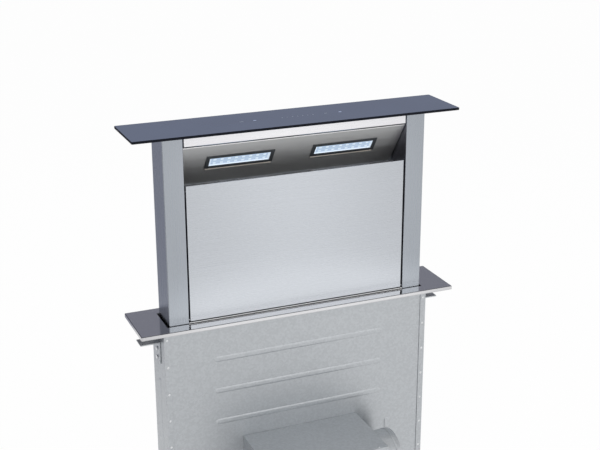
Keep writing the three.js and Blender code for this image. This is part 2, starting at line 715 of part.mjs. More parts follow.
// Involute spur gear in the y,z plane with a tooth on +y.
function pinionOutline() {
  const baseRadius = pitchRadius * Math.cos(GEAR_PRESSURE_ANGLE);
  const rootRadius = pitchRadius - GEAR_DEDENDUM * GEAR_MODULE;
  const tipRadius = pitchRadius + GEAR_ADDENDUM * GEAR_MODULE;
  const involute = (angle) => Math.tan(angle) - angle;
  const halfTooth = (toothPitch / 2 - GEAR_BACKLASH / 2) / (2 * pitchRadius);
  const halfAngle = (radius) => {
    const pressure = radius > baseRadius ? Math.acos(baseRadius / radius) : 0;
    return halfTooth + involute(GEAR_PRESSURE_ANGLE) - involute(pressure);
  };
  const middleRadius = (pitchRadius + tipRadius) / 2;
  const radii = [rootRadius, baseRadius, pitchRadius, middleRadius, tipRadius];
  const points = [];
  for (let tooth = 0; tooth < PINION_TEETH; tooth += 1) {
    const centre = (tooth / PINION_TEETH) * Math.PI * 2;
    const rising = radii.map((radius) => [radius, centre - halfAngle(radius)]);
    const falling = radii.map((radius) => [radius, centre + halfAngle(radius)]).reverse();
    for (const [radius, angle] of [...rising, ...falling]) {
      points.push([SHAFT_DEPTH + radius * Math.cos(angle), shaftZ + radius * Math.sin(angle)]);
    }
  }
  return points;
}

function pinion() {
  const bore = circle(SHAFT_DEPTH, shaftZ, SHAFT_RADIUS + FIT);
  return prism('x', pinionOutline(), pinionInner, pinionOuter, [bore]);
}

addPair(mast, 'pinion', pinion(), gearSteel);

// The slide shoe is screwed to the column's side and runs inside the guide rail.
const railInner = halfChassis - FIT - RAIL_HEIGHT;
const railBack = RAIL_FRONT + RAIL_WIDTH;

function slideShoe() {
  return block(
    halfMast + FIT, halfChassis - FIT - RAIL_WALL - FIT,
    RAIL_FRONT + RAIL_WALL + FIT, railBack - RAIL_WALL - FIT,
    SHOE_FOOT - MAST_TAIL, SHOE_FOOT - MAST_TAIL + SHOE_LENGTH,
  );
}

addPair(mast, 'slide_shoe', slideShoe(), whiteAcetal);

// ---- Racks and guide rails on the chassis sides -----------------------------------------

function guideRail() {
  const profile = [
    [railInner, RAIL_FRONT], [halfChassis - FIT, RAIL_FRONT],
    [halfChassis - FIT, railBack], [railInner, railBack],
    [railInner, railBack - RAIL_WALL], [halfChassis - FIT - RAIL_WALL, railBack - RAIL_WALL],
    [halfChassis - FIT - RAIL_WALL, RAIL_FRONT + RAIL_WALL], [railInner, RAIL_FRONT + RAIL_WALL],
  ];
  const top = -WIPER_DROP - WIPER_HEIGHT - FIT;
  return prism('z', profile, chassisFloor + FIT, top);
}

function rack() {
  const addendum = GEAR_ADDENDUM * GEAR_MODULE;
  const dedendum = GEAR_DEDENDUM * GEAR_MODULE;
  const slope = Math.tan(GEAR_PRESSURE_ANGLE);
  const half = toothPitch / 4 - GEAR_BACKLASH / 4;
  const reach = pitchRadius + RACK_RUN_OUT;
  const above = Math.ceil(reach / toothPitch);
  const below = Math.ceil((LIFT_TRAVEL + reach) / toothPitch);
  const points = [];
  for (let tooth = -below; tooth < above; tooth += 1) {
    const z = shaftHeight + (tooth + 0.5) * toothPitch;
    points.push([pitchLineY + dedendum, z - half - dedendum * slope]);
    points.push([pitchLineY - addendum, z - half + addendum * slope]);
    points.push([pitchLineY - addendum, z + half - addendum * slope]);
    points.push([pitchLineY + dedendum, z + half + dedendum * slope]);
  }
  const back = pitchLineY + dedendum + RACK_BACK;
  points.push([back, shaftHeight + above * toothPitch]);
  points.push([back, shaftHeight - below * toothPitch]);
  return prism('x', points, pinionInner, halfChassis - FIT);
}

addPair(chassis, 'guide_rail', guideRail(), zincSteel);
addPair(chassis, 'rack', rack(), gearSteel);

// ---- Deck plate and its two seals -------------------------------------------------------

function deckPlate() {
  const half = halfMast + SLOT_SIDE_GAP;
  const tray = prism(
    'z', roundedRectangle(-deckHalf, deckHalf, deckFront, deckBack, DECK_CORNER), 0, DECK_HEIGHT,
  );
  const under = block(
    DECK_SHEET - deckHalf, deckHalf - DECK_SHEET, deckFront + DECK_SHEET, deckBack - DECK_SHEET,
    -CUT_PAST, DECK_HEIGHT - DECK_SHEET,
  );
  const slot = block(-half, half, -SLOT_GAP, MAST_DEPTH + SLOT_GAP, 0, DECK_HEIGHT + CUT_PAST);
  return build([tray], [under, slot]);
}

function deckSeal() {
  const outer = rectangle(
    sealInset - deckHalf, deckHalf - sealInset, deckFront + sealInset, deckBack - sealInset,
  );
  const inset = sealInset + SEAL_WIDTH;
  const inner = rectangle(inset - deckHalf, deckHalf - inset, deckFront + inset, deckBack - inset);
  return prism('z', outer, 0, chassisTop, [inner]);
}

function slotWiper() {
  const half = halfMast + WIPER_GAP;
  const outer = rectangle(FIT - halfChassis, halfChassis - FIT, chassisFront + FIT, chassisBack - FIT);
  const inner = rectangle(-half, half, -WIPER_GAP, MAST_DEPTH + WIPER_GAP);
  return prism('z', outer, -WIPER_DROP - WIPER_HEIGHT, -WIPER_DROP, [inner]);
}

add(chassis, 'deck_plate', deckPlate(), stainless);
add(chassis, 'deck_seal', deckSeal(), blackRubber);
add(chassis, 'slot_wiper', slotWiper(), blackRubber);

// ---- Chassis: four folded sheets and a floor --------------------------------------------

function chassisSheet(inner, direction) {
  const outer = inner + direction * CHASSIS_SHEET;
  const lip = outer + direction * CHASSIS_FLANGE;
  const under = chassisTop - CHASSIS_SHEET;
  const profile = [
    [inner, chassisFloor], [inner, chassisTop], [lip, chassisTop],
    [lip, under], [outer, under], [outer, chassisFloor],
  ];
  return prism('x', profile, -halfChassis, halfChassis);
}

function chassisFrontSheet() {
  const inlet = rod('y', 0, blowerZ, INLET_RADIUS, housingBack, 0, ROUND_LARGE);
  return build([chassisSheet(chassisFront, -1)], [inlet]);
}

function rightChassisSide() {
  const inner = halfChassis + FIT;
  const outer = inner + CHASSIS_SHEET;
  const front = chassisFront - CHASSIS_SHEET - FIT;
  const back = chassisBack + CHASSIS_SHEET + FIT;
  const fold = outer - CORNER_FLANGE;
  const under = chassisTop - CHASSIS_SHEET - FIT;
  const profile = [
    [inner, front], [fold, front], [fold, front - CHASSIS_SHEET], [outer, front - CHASSIS_SHEET],
    [outer, back + CHASSIS_SHEET], [fold, back + CHASSIS_SHEET], [fold, back], [inner, back],
  ];
  const lip = block(
    inner, outer + CHASSIS_FLANGE, chassisFront + LIP_RELIEF, chassisBack - LIP_RELIEF,
    under - CHASSIS_SHEET, under,
  );
  return build([prism('z', profile, chassisFloor, under), lip]);
}

function chassisFloorPan() {
  const half = halfChassis + FIT + CHASSIS_SHEET;
  return block(
    -half, half, chassisFront - CHASSIS_SHEET, chassisBack + CHASSIS_SHEET,
    baseUnder, baseUnder + CHASSIS_SHEET,
  );
}

add(chassis, 'chassis_front', chassisFrontSheet(), zincSteel);
add(chassis, 'chassis_back', chassisSheet(chassisBack, 1), zincSteel);
addPair(chassis, 'chassis_side', rightChassisSide(), zincSteel);
add(chassis, 'chassis_floor', chassisFloorPan(), zincSteel);

// ---- Clamps and screw feet --------------------------------------------------------------

function worktopClamp() {
  const inner = halfChassis + CHASSIS_SHEET + 2 * FIT;
  const top = -WORKTOP_THICKNESS;
  const front = (MAST_DEPTH - CLAMP_WIDTH) / 2;
  const bend = inner + CLAMP_SHEET;
  const end = inner + CLAMP_ARM;
  const profile = [
    [inner, top], [inner, top - CLAMP_LEG], [bend, top - CLAMP_LEG],
    [bend, top - CLAMP_SHEET], [end, top - CLAMP_SHEET], [end, top],
  ];
  return prism('y', profile, front, front + CLAMP_WIDTH);
}

function screwFoot() {
  const top = FOOT_HEIGHT - FIT;
  const nut = top - FOOT_NUT_HEIGHT;
  const profile = [
    [0, 0], [FOOT_PAD_RADIUS, 0], [FOOT_PAD_RADIUS, FOOT_PAD_HEIGHT],
    [FOOT_STEM_RADIUS, FOOT_PAD_HEIGHT + FOOT_CONE], [FOOT_STEM_RADIUS, nut],
    [FOOT_NUT_RADIUS, nut], [FOOT_NUT_RADIUS, top], [0, top],
  ];
  const geometry = new THREE.LatheGeometry(profile.map(([r, z]) => new THREE.Vector2(r, z)), ROUND);
  return geometry.rotateX(Math.PI / 2);
}

addPair(chassis, 'worktop_clamp', worktopClamp(), zincSteel);
for (const [side, sign] of [['left', -1], ['right', 1]]) {
  const rear = add(chassis, `${side}_rear_foot`, screwFoot(), blackPlastic);
  rear.position.set(
    sign * (halfChassis - FOOT_SIDE_INSET), chassisBack - FOOT_BACK_INSET, baseUnder - FOOT_HEIGHT,
  );
  const front = add(chassis, `${side}_front_foot`, screwFoot(), blackPlastic);
  front.position.set(
    sign * (housingHalf - FRONT_FOOT_INSET), housingFront + FRONT_FOOT_INSET, baseUnder - FOOT_HEIGHT,
  );
}

// ---- Blower -----------------------------------------------------------------------------

function blowerHousing() {
  const wall = CHASSIS_SHEET;
  const box = block(-housingHalf, housingHalf, housingFront, housingBack, housingBottom, housingTop);
  const hollow = block(
    wall - housingHalf, housingHalf - wall, housingFront - CUT_PAST, housingBack - wall,
    housingBottom + wall, housingTop - wall,
  );
  const inlet = rod(
    'y', 0, blowerZ, INLET_RADIUS, housingBack - wall - CUT_PAST, housingBack + CUT_PAST, ROUND_LARGE,
  );
  const outlet = rod(
    'x', outletY, outletZ, OUTLET_RADIUS - OUTLET_WALL, 0, housingHalf + CUT_PAST, ROUND_LARGE,
  );
  return build([box], [hollow, inlet, outlet]);
}

function blowerCover() {
  const wall = CHASSIS_SHEET;
  const face = block(
    -housingHalf, housingHalf, housingFront - FIT - wall, housingFront - FIT, housingBottom, housingTop,
  );
  const frame = (inset) =>
    rectangle(inset - housingHalf, housingHalf - inset, housingBottom + inset, housingTop - inset);
  const lip = prism(
    'y', frame(wall + FIT), housingFront - FIT - JOIN_DEPTH, housingFront + COVER_LIP,
    [frame(2 * wall + FIT)],
  );
  return build([face, lip]);
}

// The scroll's wall in the x,z plane, grown outwards by `offset`.
function scrollOutline(offset, end) {
  const points = [];
  for (let step = 0; step <= SCROLL_STEPS; step += 1) {
    const angle = SCROLL_TONGUE + ((SCROLL_END - SCROLL_TONGUE) * step) / SCROLL_STEPS;
    const radius = scrollRadius(angle) + offset;
    points.push([radius * Math.cos(angle), blowerZ + radius * Math.sin(angle)]);
  }
  points.push([end, blowerZ + scrollEnd + offset]);
  points.push([end, blowerZ + tongueZ - offset]);
  return points;
}

const scrollOutletEnd = housingHalf - CHASSIS_SHEET - FIT;

// The casing is open towards the mast, so that the impeller goes in there; the inlet plate shuts it.
function blowerScroll() {
  const casingBack = scrollBack - SCROLL_WALL - FIT;
  const casing = prism('y', scrollOutline(SCROLL_WALL, scrollOutletEnd), scrollFront, casingBack);
  const inside = prism(
    'y', scrollOutline(0, scrollOutletEnd + CUT_PAST), scrollFront + SCROLL_WALL, casingBack + CUT_PAST,
  );
  const shaftHole = rod('y', 0, blowerZ, MOTOR_SHAFT_HOLE, scrollFront - CUT_PAST, outletY);
  return build([casing], [inside, shaftHole]);
}

function scrollInletPlate() {
  const eye = circle(0, blowerZ, IMPELLER_EYE_RADIUS, ROUND_LARGE);
  const outline = scrollOutline(SCROLL_WALL, scrollOutletEnd);
  return prism('y', outline, scrollBack - SCROLL_WALL, scrollBack, [eye]);
}

// A squirrel-cage wheel: back plate, inlet ring and forward-curved blades between them.
function impeller() {
  const front = impellerFront;
  const back = front + IMPELLER_WIDTH;
  const plate = rod('y', 0, blowerZ, IMPELLER_RADIUS, front, front + IMPELLER_PLATE, ROUND_LARGE);
  const ring = prism(
    'y', circle(0, blowerZ, IMPELLER_RADIUS, ROUND_LARGE), back - IMPELLER_RING, back,
    [circle(0, blowerZ, IMPELLER_EYE_RADIUS, ROUND_LARGE)],
  );
  const hub = rod('y', 0, blowerZ, HUB_RADIUS, front + JOIN_DEPTH, front + HUB_LENGTH);
  const motorEnd = scrollFront - MOTOR_LENGTH / 2;
  const shaft = rod('y', 0, blowerZ, MOTOR_SHAFT_RADIUS, motorEnd, front + JOIN_DEPTH);
  const blades = [];
  const inner = IMPELLER_EYE_RADIUS + BLADE_INSET;
  const outer = IMPELLER_RADIUS - BLADE_INSET;
  const middle = (inner + outer) / 2;
  const thickness = BLADE_THICKNESS / IMPELLER_RADIUS; // as an angle
  for (let blade = 0; blade < BLADE_COUNT; blade += 1) {
    const angle = (blade / BLADE_COUNT) * Math.PI * 2;
    const at = (radius, turn) => [radius * Math.cos(turn), blowerZ + radius * Math.sin(turn)];
    const outline = [
      at(inner, angle), at(middle, angle - BLADE_LEAN / 4), at(outer, angle - BLADE_LEAN),
      at(outer, angle - BLADE_LEAN + thickness), at(middle, angle - BLADE_LEAN / 4 + thickness),
      at(inner, angle + thickness),
    ];
    blades.push(prism('y', outline, front + JOIN_DEPTH, back - JOIN_DEPTH));
  }
  return build([plate, ring, hub, shaft, ...blades]);
}

function blowerMotor() {
  const back = scrollFront - FIT;
  const can = rod('y', 0, blowerZ, MOTOR_RADIUS, back - MOTOR_LENGTH, back, ROUND_LARGE);
  const boreEnd = back - MOTOR_LENGTH / 2 - CUT_PAST;
  const bore = rod('y', 0, blowerZ, MOTOR_SHAFT_RADIUS + FIT, boreEnd, back + CUT_PAST);
  return build([can], [bore]);
}

add(chassis, 'blower_housing', blowerHousing(), zincSteel);
add(chassis, 'blower_cover', blowerCover(), zincSteel);
add(chassis, 'blower_scroll', blowerScroll(), blackPlastic);
add(chassis, 'scroll_inlet_plate', scrollInletPlate(), blackPlastic);
add(chassis, 'impeller', impeller(), greyPlastic);
add(chassis, 'blower_motor', blowerMotor(), motorPaint);

// ---- Outlet collar with two non-return flaps on one upright spindle ---------------------

const collarInner = OUTLET_RADIUS - OUTLET_WALL;

function outletCollar() {
  const half = OUTLET_FLANGE / 2;
  const pipeStart = collarFace + OUTLET_FLANGE_SHEET;
  const bore = circle(outletY, outletZ, collarInner, ROUND_LARGE);
  const flange = prism(
    'x', rectangle(outletY - half, outletY + half, outletZ - half, outletZ + half),
    collarFace, pipeStart, [bore],
  );
  const pipe = prism(
    'x', circle(outletY, outletZ, OUTLET_RADIUS, ROUND_LARGE), pipeStart, pipeStart + OUTLET_LENGTH, [bore],
  );
  const reach = collarInner + OUTLET_WALL / 2;
  const spindle = rod('z', spindleX, outletY, SPINDLE_RADIUS, outletZ - reach, outletZ + reach, ROUND_FINE);
  return build([flange, pipe, spindle]);
}

// One half-disc with two knuckles round the spindle; `first` tells which quarters they take.
function damperFlap(sign, first) {
  const radius = collarInner - FLAP_GAP;
  const edge = SPINDLE_RADIUS + FIT + KNUCKLE_WALL / 2;
  const outline = [];
  const start = Math.asin(edge / radius);
  const steps = ROUND_LARGE / 2;
  for (let step = 0; step <= steps; step += 1) {
    const angle = start + ((Math.PI - 2 * start) * step) / steps;
    outline.push([outletY + sign * radius * Math.sin(angle), outletZ + radius * Math.cos(angle)]);
  }
  const leaf = prism('x', outline, spindleX - FLAP_THICKNESS / 2, spindleX + FLAP_THICKNESS / 2);
  const spindleRod = (size, low, high) => rod('z', spindleX, outletY, size, low, high, ROUND_FINE);
  const knuckle = SPINDLE_RADIUS + FIT + KNUCKLE_WALL;
  const quarter = radius / 2;
  const own = [];
  const others = [];
  for (let place = 0; place < 4; place += 1) {
    const low = outletZ - radius + place * quarter;
    const high = low + quarter;
    if (place % 2 === first) {
      own.push(spindleRod(knuckle, low + KNUCKLE_END_GAP, high - KNUCKLE_SIDE_GAP));
    } else {
      others.push(spindleRod(knuckle + FIT, low - KNUCKLE_SIDE_GAP, high + KNUCKLE_SIDE_GAP));
    }
  }
  const bore = spindleRod(SPINDLE_RADIUS + FIT, outletZ - OUTLET_RADIUS, outletZ + OUTLET_RADIUS);
  return build([build([leaf], others), ...own], [bore]);
}

add(chassis, 'outlet_collar', outletCollar(), zincSteel);
add(chassis, 'rear_damper_flap', damperFlap(1, 0), aluminium);
add(chassis, 'front_damper_flap', damperFlap(-1, 1), aluminium);

// ---- Control box ------------------------------------------------------------------------

const boxRight = -housingHalf - BOX_FROM_HOUSING;
const boxLeft = boxRight - BOX_WIDTH;
const boxBack = housingBack;
const boxFront = boxBack - BOX_DEPTH;
const boxBottom = chassisFloor + BOX_LIFT;
const boxTop = boxBottom + BOX_HEIGHT;
const glandY = (boxFront + boxBack) / 2;
const glandZ = (boxBottom + boxTop) / 2;

function controlBox() {
  const shell = block(boxLeft, boxRight, boxFront, boxBack, boxBottom, boxTop);
  const hollow = block(
    boxLeft + BOX_WALL, boxRight - BOX_WALL, boxFront - CUT_PAST, boxBack - BOX_WALL,
    boxBottom + BOX_WALL, boxTop - BOX_WALL,
  );
  const entry = rod(
    'x', glandY, glandZ, GLAND_RADIUS + FIT, boxLeft - CUT_PAST, boxLeft + BOX_WALL + CUT_PAST,
  );
  return build([shell], [hollow, entry]);
}

function cableGland() {
  const seat = boxLeft - FIT;
  const inner = boxLeft + BOX_WALL + GLAND_NUT;
  const outer = seat - GLAND_LENGTH;
  const thread = rod('x', glandY, glandZ, GLAND_RADIUS, seat - JOIN_DEPTH, inner);
  const nut = rod('x', glandY, glandZ, GLAND_NUT_RADIUS, seat - GLAND_NUT, seat, 6);
  const nose = rod('x', glandY, glandZ, GLAND_RADIUS - GLAND_NOSE_STEP, outer, seat - JOIN_DEPTH);
  const bore = rod('x', glandY, glandZ, LEAD_RADIUS, outer - CUT_PAST, inner + CUT_PAST);
  return build([thread, nut, nose], [bore]);
}

add(chassis, 'control_box', controlBox(), greyPlastic);
add(
  chassis, 'control_box_lid',
  block(boxLeft, boxRight, boxFront - FIT - LID_THICKNESS, boxFront - FIT, boxBottom, boxTop), greyPlastic,
);
add(chassis, 'cable_gland', cableGland(), blackPlastic);

export default vent;
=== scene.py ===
# %% [markdown]
# # A rising downdraft vent, dressed in Blender
#
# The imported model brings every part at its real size, in metres. This lesson never moves it. It
# copies each part, rounds the copy's edges, and gives it a finish that is worked out by nodes.
# The small things that a sheet-metal shop adds, such as screws and pressed ribs, come last.

# %% Load the frame
import json
import math

import bmesh
import bpy
from mathutils import Matrix, Vector

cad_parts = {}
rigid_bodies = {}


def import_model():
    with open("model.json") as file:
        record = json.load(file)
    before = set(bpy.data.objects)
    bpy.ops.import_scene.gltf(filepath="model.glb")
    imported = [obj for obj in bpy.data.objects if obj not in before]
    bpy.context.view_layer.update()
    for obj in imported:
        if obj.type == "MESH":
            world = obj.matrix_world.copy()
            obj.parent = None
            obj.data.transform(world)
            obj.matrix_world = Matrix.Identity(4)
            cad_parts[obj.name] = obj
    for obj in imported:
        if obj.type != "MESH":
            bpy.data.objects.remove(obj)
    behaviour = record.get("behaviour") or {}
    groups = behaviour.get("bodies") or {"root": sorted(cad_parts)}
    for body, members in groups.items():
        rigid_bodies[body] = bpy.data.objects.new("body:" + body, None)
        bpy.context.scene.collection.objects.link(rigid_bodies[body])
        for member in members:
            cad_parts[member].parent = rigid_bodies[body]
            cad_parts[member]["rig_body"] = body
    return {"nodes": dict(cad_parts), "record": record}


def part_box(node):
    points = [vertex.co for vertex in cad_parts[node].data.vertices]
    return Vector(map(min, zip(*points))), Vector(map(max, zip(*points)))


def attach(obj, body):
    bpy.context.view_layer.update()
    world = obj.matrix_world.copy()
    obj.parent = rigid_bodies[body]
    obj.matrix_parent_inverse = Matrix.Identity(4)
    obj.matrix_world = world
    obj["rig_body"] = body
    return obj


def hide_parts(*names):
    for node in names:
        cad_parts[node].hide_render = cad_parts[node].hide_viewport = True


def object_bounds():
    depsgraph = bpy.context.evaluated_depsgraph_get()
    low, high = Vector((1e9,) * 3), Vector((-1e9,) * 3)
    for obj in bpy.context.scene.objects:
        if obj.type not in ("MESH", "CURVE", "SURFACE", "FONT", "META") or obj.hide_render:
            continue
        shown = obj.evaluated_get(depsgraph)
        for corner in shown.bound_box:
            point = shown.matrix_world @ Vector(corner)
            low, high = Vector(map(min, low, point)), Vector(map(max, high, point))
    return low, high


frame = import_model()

cad_box = [list(corner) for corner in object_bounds()]
nodes = frame["nodes"]
slot_of = {part["node"]: part["material_slot"] for part in frame["record"]["subparts"]}
body_of = {name: part["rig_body"] for name, part in nodes.items()}
print("nodes", len(nodes), "size", [round(b - a, 4) for a, b in zip(*cad_box)])

# %% [markdown]
# ## The camera
#
# A picture of a box shows where it was taken from. Its edges give the lens, the height and the
# turn of the camera. Here they come out as a long lens, from the left and a little above.

# %% Place the camera
CAMERA_PLACE = Vector((-1.0775, -2.5766, 1.2132))
CAMERA_AZIMUTH = math.radians(22.533)  # to the right of straight ahead
CAMERA_DROP = math.radians(19.187)  # below the horizon
CAMERA_ROLL = math.radians(-0.174)
SENSOR_WIDTH = 36.0
LENS = 70.05


def camera_turn():
    """The camera's rotation: its right, its up, and the way back from what it sees."""
    right = Vector((math.cos(CAMERA_AZIMUTH), -math.sin(CAMERA_AZIMUTH), 0))
    ahead = Vector((
        math.sin(CAMERA_AZIMUTH) * math.cos(CAMERA_DROP),
        math.cos(CAMERA_AZIMUTH) * math.cos(CAMERA_DROP),
        -math.sin(CAMERA_DROP),
    ))
    up = right.cross(ahead)
    level = right * math.cos(CAMERA_ROLL) + up * math.sin(CAMERA_ROLL)
    return Matrix((level, level.cross(ahead), -ahead)).transposed()


def put_in_scene(name, data):
    thing = bpy.data.objects.new(name, data)
    bpy.context.scene.collection.objects.link(thing)
    return thing


camera_data = bpy.data.cameras.new("camera")
camera_data.sensor_width = SENSOR_WIDTH
camera_data.lens = LENS
camera = put_in_scene("camera", camera_data)
camera.matrix_world = Matrix.Translation(CAMERA_PLACE) @ camera_turn().to_4x4()
bpy.context.scene.camera = camera
bpy.context.scene.view_settings.view_transform = "Standard"
print("camera", [round(x, 3) for x in camera.location], "lens", LENS)

# %% [markdown]
# ## Nodes
#
# A material is a tree of nodes, and a node's inputs take either a plain number or what another
# node gives. These helpers add a node with its numbers, blend two shaders and tell the rays that
# show a surface from the light that falls on it.


# %% Helpers for nodes
def set_inputs(node, values):
    """Plain numbers on a node's own inputs."""
    for name, value in values.items():
        node.inputs[name].default_value = value
    return node


def add_node(tree, kind, values=None):
    return set_inputs(tree.nodes.new(kind), values or {})


def add_math(tree, operation, *terms):
    """The output of a math node. Its terms are numbers or other nodes' outputs."""
    node = add_node(tree, "ShaderNodeMath")
    node.operation = operation
    for term, socket in zip(terms, node.inputs):
        if isinstance(term, float):
            socket.default_value = term
        else:
            tree.links.new(term, socket)
    return node.outputs[0]


def blend(tree, share, first, second):
    """A node that goes from the first shader to the second as the share goes from 0 to 1."""
    mix = add_node(tree, "ShaderNodeMixShader")
    for source, socket in zip((share, first.outputs[0], second.outputs[0]), mix.inputs):
        tree.links.new(source, socket)
    return mix


def show(tree, shader, output="ShaderNodeOutputMaterial"):
    tree.links.new(shader.outputs[0], add_node(tree, output).inputs["Surface"])


def seen_rays(tree):
    """1 for rays from the camera, from gloss or through glass, and 0 for the light that falls."""
    path = add_node(tree, "ShaderNodeLightPath")
    seen = path.outputs["Is Camera Ray"]
    for kind in ("Is Glossy Ray", "Is Transmission Ray"):
        seen = add_math(tree, "MAXIMUM", seen, path.outputs[kind])
    return seen


def own_metres(tree):
    """Places in an object's own metres, so that a pattern moves with the object."""
    return add_node(tree, "ShaderNodeTexCoord").outputs["Object"]


def empty_material(name):
    material = bpy.data.materials.new(name)
    material.use_nodes = True
    material.node_tree.nodes.clear()
    return material, material.node_tree


print("node helpers ready")

# %% [markdown]
# ## A pale studio
#
# Metal has little colour of its own: it shows what stands round it. So the studio matters as
# much as the steel. The world and the floor look pale to the camera and in reflections, while
# less light than that falls on the object.

# %% World and floor
PALE = (1.0, 1.0, 1.0, 1.0)
WORLD_LIGHT = 0.55
FLOOR_HALF = 40.0
FLOOR_SHOWN = 0.97  # how white the camera sees the floor
FLOOR_MIRRORED = 0.86  # and how white reflections show it
FLOOR_COLOUR = (0.84, 0.84, 0.85, 1)
SQUARE = ((-1, -1), (1, -1), (1, 1), (-1, 1))  # corners, in order


def make_world():
    world = bpy.data.worlds.new("pale_studio")
    world.use_nodes = True
    tree = world.node_tree
    tree.nodes.clear()
    light = add_node(tree, "ShaderNodeBackground", {"Color": PALE, "Strength": WORLD_LIGHT})
    shown = add_node(tree, "ShaderNodeBackground", {"Color": PALE})
    show(tree, blend(tree, seen_rays(tree), light, shown), "ShaderNodeOutputWorld")
    bpy.context.scene.world = world


def make_floor_material():
    material, tree = empty_material("studio_floor")
    matt = add_node(tree, "ShaderNodeBsdfDiffuse", {"Color": FLOOR_COLOUR})
    glow = add_node(tree, "ShaderNodeEmission", {"Color": PALE})
    from_camera = add_node(tree, "ShaderNodeLightPath").outputs["Is Camera Ray"]
    lift = add_math(tree, "MULTIPLY", from_camera, FLOOR_SHOWN - FLOOR_MIRRORED)
    share = add_math(tree, "MULTIPLY_ADD", seen_rays(tree), FLOOR_MIRRORED, lift)
    show(tree, blend(tree, share, matt, glow))
    return material


def flat_card(name, corners, material):
    mesh = bpy.data.meshes.new(name)
    mesh.from_pydata([Vector(c) for c in corners], [], [(0, 1, 2, 3)])
    mesh.materials.append(material)
    card = put_in_scene(name, mesh)
    return card


floor_height = cad_box[0][2]
make_world()
floor_corners = [(x * FLOOR_HALF, y * FLOOR_HALF, floor_height) for x, y in SQUARE]
flat_card("floor", floor_corners, make_floor_material())
print("studio floor at", round(floor_height, 4))

# %% [markdown]
# ## Cards and lamps
#
# A photographer stands cards round steel, so that each face has something to show. Two grey
# ones behind the object darken the tops and the left side. One on each side and one overhead
# draw thin dark lines along the rounded corners. A bright one stands far in front, where the
# deck mirrors it. Three more lie flat and fade towards their rims: two on the floor make the
# middle of the panel lighter than its edges, and one at the deck's level lights the feet of the
# panel and columns. Only reflections see the cards, and only matt surfaces see the lamps.

# %% Helpers for cards and lamps
FADE = 0.6  # share of a bright card's reach over which it fades
AIM = Vector((0, 0.07, 0))  # what the lamps point at


def only_in_reflections(card):
    card.visible_camera = card.visible_diffuse = False
    card.visible_transmission = card.visible_shadow = False


def plain_card(name, colour, corners):
    material, tree = empty_material(name)
    show(tree, add_node(tree, "ShaderNodeEmission", {"Color": (*colour, 1)}))
    only_in_reflections(flat_card(name, corners, material))


def upright(start, end, z_range):
    """The corners of a card that stands over the line from start to end."""
    z0, z1 = z_range
    return [(*start, z0), (*end, z0), (*end, z1), (*start, z1)]


def bright_card(name, centre, half_size, strength, turn=0.0, far_edge=1.0):
    """A flat card that is bright in its middle and fades to nothing at its rim."""
    material, tree = empty_material(name)
    gradient = add_node(tree, "ShaderNodeTexGradient")
    gradient.gradient_type = "SPHERICAL"
    tree.links.new(own_metres(tree), gradient.inputs["Vector"])
    fade = add_node(tree, "ShaderNodeMapRange", {"From Max": FADE})
    fade.interpolation_type = "SMOOTHSTEP"
    tree.links.new(gradient.outputs["Fac"], fade.inputs["Value"])
    clear = add_node(tree, "ShaderNodeBsdfTransparent")
    glow = add_node(tree, "ShaderNodeEmission", {"Strength": strength})
    show(tree, blend(tree, fade.outputs["Result"], clear, glow))
    corners = [(-1, -1, 0), (1, -1, 0), (1, far_edge, 0), (-1, far_edge, 0)]
    card = flat_card(name, corners, material)
    card.location = centre
    card.scale = (*half_size, 1)
    card.rotation_euler.z = math.radians(turn)
    only_in_reflections(card)


def soft_lamp(name, place, size, watts):
    data = bpy.data.lights.new(name, "AREA")
    data.size = size
    data.energy = watts
    lamp = put_in_scene(name, data)
    lamp.location = place
    lamp.rotation_euler = (AIM - Vector(place)).to_track_quat("-Z", "Y").to_euler()
    lamp.visible_camera = lamp.visible_glossy = False


print("card and lamp helpers ready")

# %% Nine cards and three lamps
BEHIND = 1.6  # where the back cards stand
LOW = (floor_height, 0.28)
HIGH = (0.28, 2.6)
OVERHEAD = 2.8
IN_FRONT = -4.6
CARD_STEP = 0.01  # between the floor and a card, and between two cards
GLOW_TURN = 22  # the floor's cards lie along the camera's view as the panel mirrors it
DECK_SPACE = (0.002, 0.001)  # before the deck's front edge, and over the level it lies on
deck_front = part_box("deck_plate")[0][1]
plain_card("left_card", (0.35, 0.36, 0.43), upright((-3.2, BEHIND), (-0.35, BEHIND), LOW))
plain_card("back_card", (0.21, 0.215, 0.255), upright((-3.2, BEHIND), (3.2, BEHIND), HIGH))
plain_card("left_line", (0.10, 0.10, 0.12), upright((-1.6, -1.2), (-1.6, -0.2), LOW))
plain_card("right_line", (0.30, 0.30, 0.31), upright((1.8, 0.4), (1.8, 1.6), LOW))
plain_card("overhead_line", (0.10, 0.10, 0.11), [
    (x, y, OVERHEAD) for x, y in ((-2.6, -1.5), (3.4, -1.5), (3.4, 1.3), (-2.6, 1.3))
])
plain_card("front_wall", (1.7, 1.7, 1.7), upright((0.6, IN_FRONT), (3.3, IN_FRONT), (0.9, 2.5)))
for name, x, y, steps, half_size, strength in (
    ("far_glow", 1.32, -3.35, 1, (0.66, 1.0), 1.75),
    ("middle_glow", 0.99, -2.35, 2, (0.28, 0.9), 1.15),
):
    centre = (x, y, floor_height + steps * CARD_STEP)
    bright_card(name, centre, half_size, strength, turn=GLOW_TURN)
deck_centre = (0.03, deck_front - DECK_SPACE[0], DECK_SPACE[1])
bright_card("deck_glow", deck_centre, (0.56, 0.36), 1.30, far_edge=0.0)
soft_lamp("key_lamp", (-2.0, -2.6, 2.6), size=2.0, watts=62)
soft_lamp("fill_lamp", (2.8, -1.8, 1.4), size=1.8, watts=26)
soft_lamp("back_lamp", (0.8, 2.8, 2.2), size=1.8, watts=24)
print("9 cards and 3 lamps")

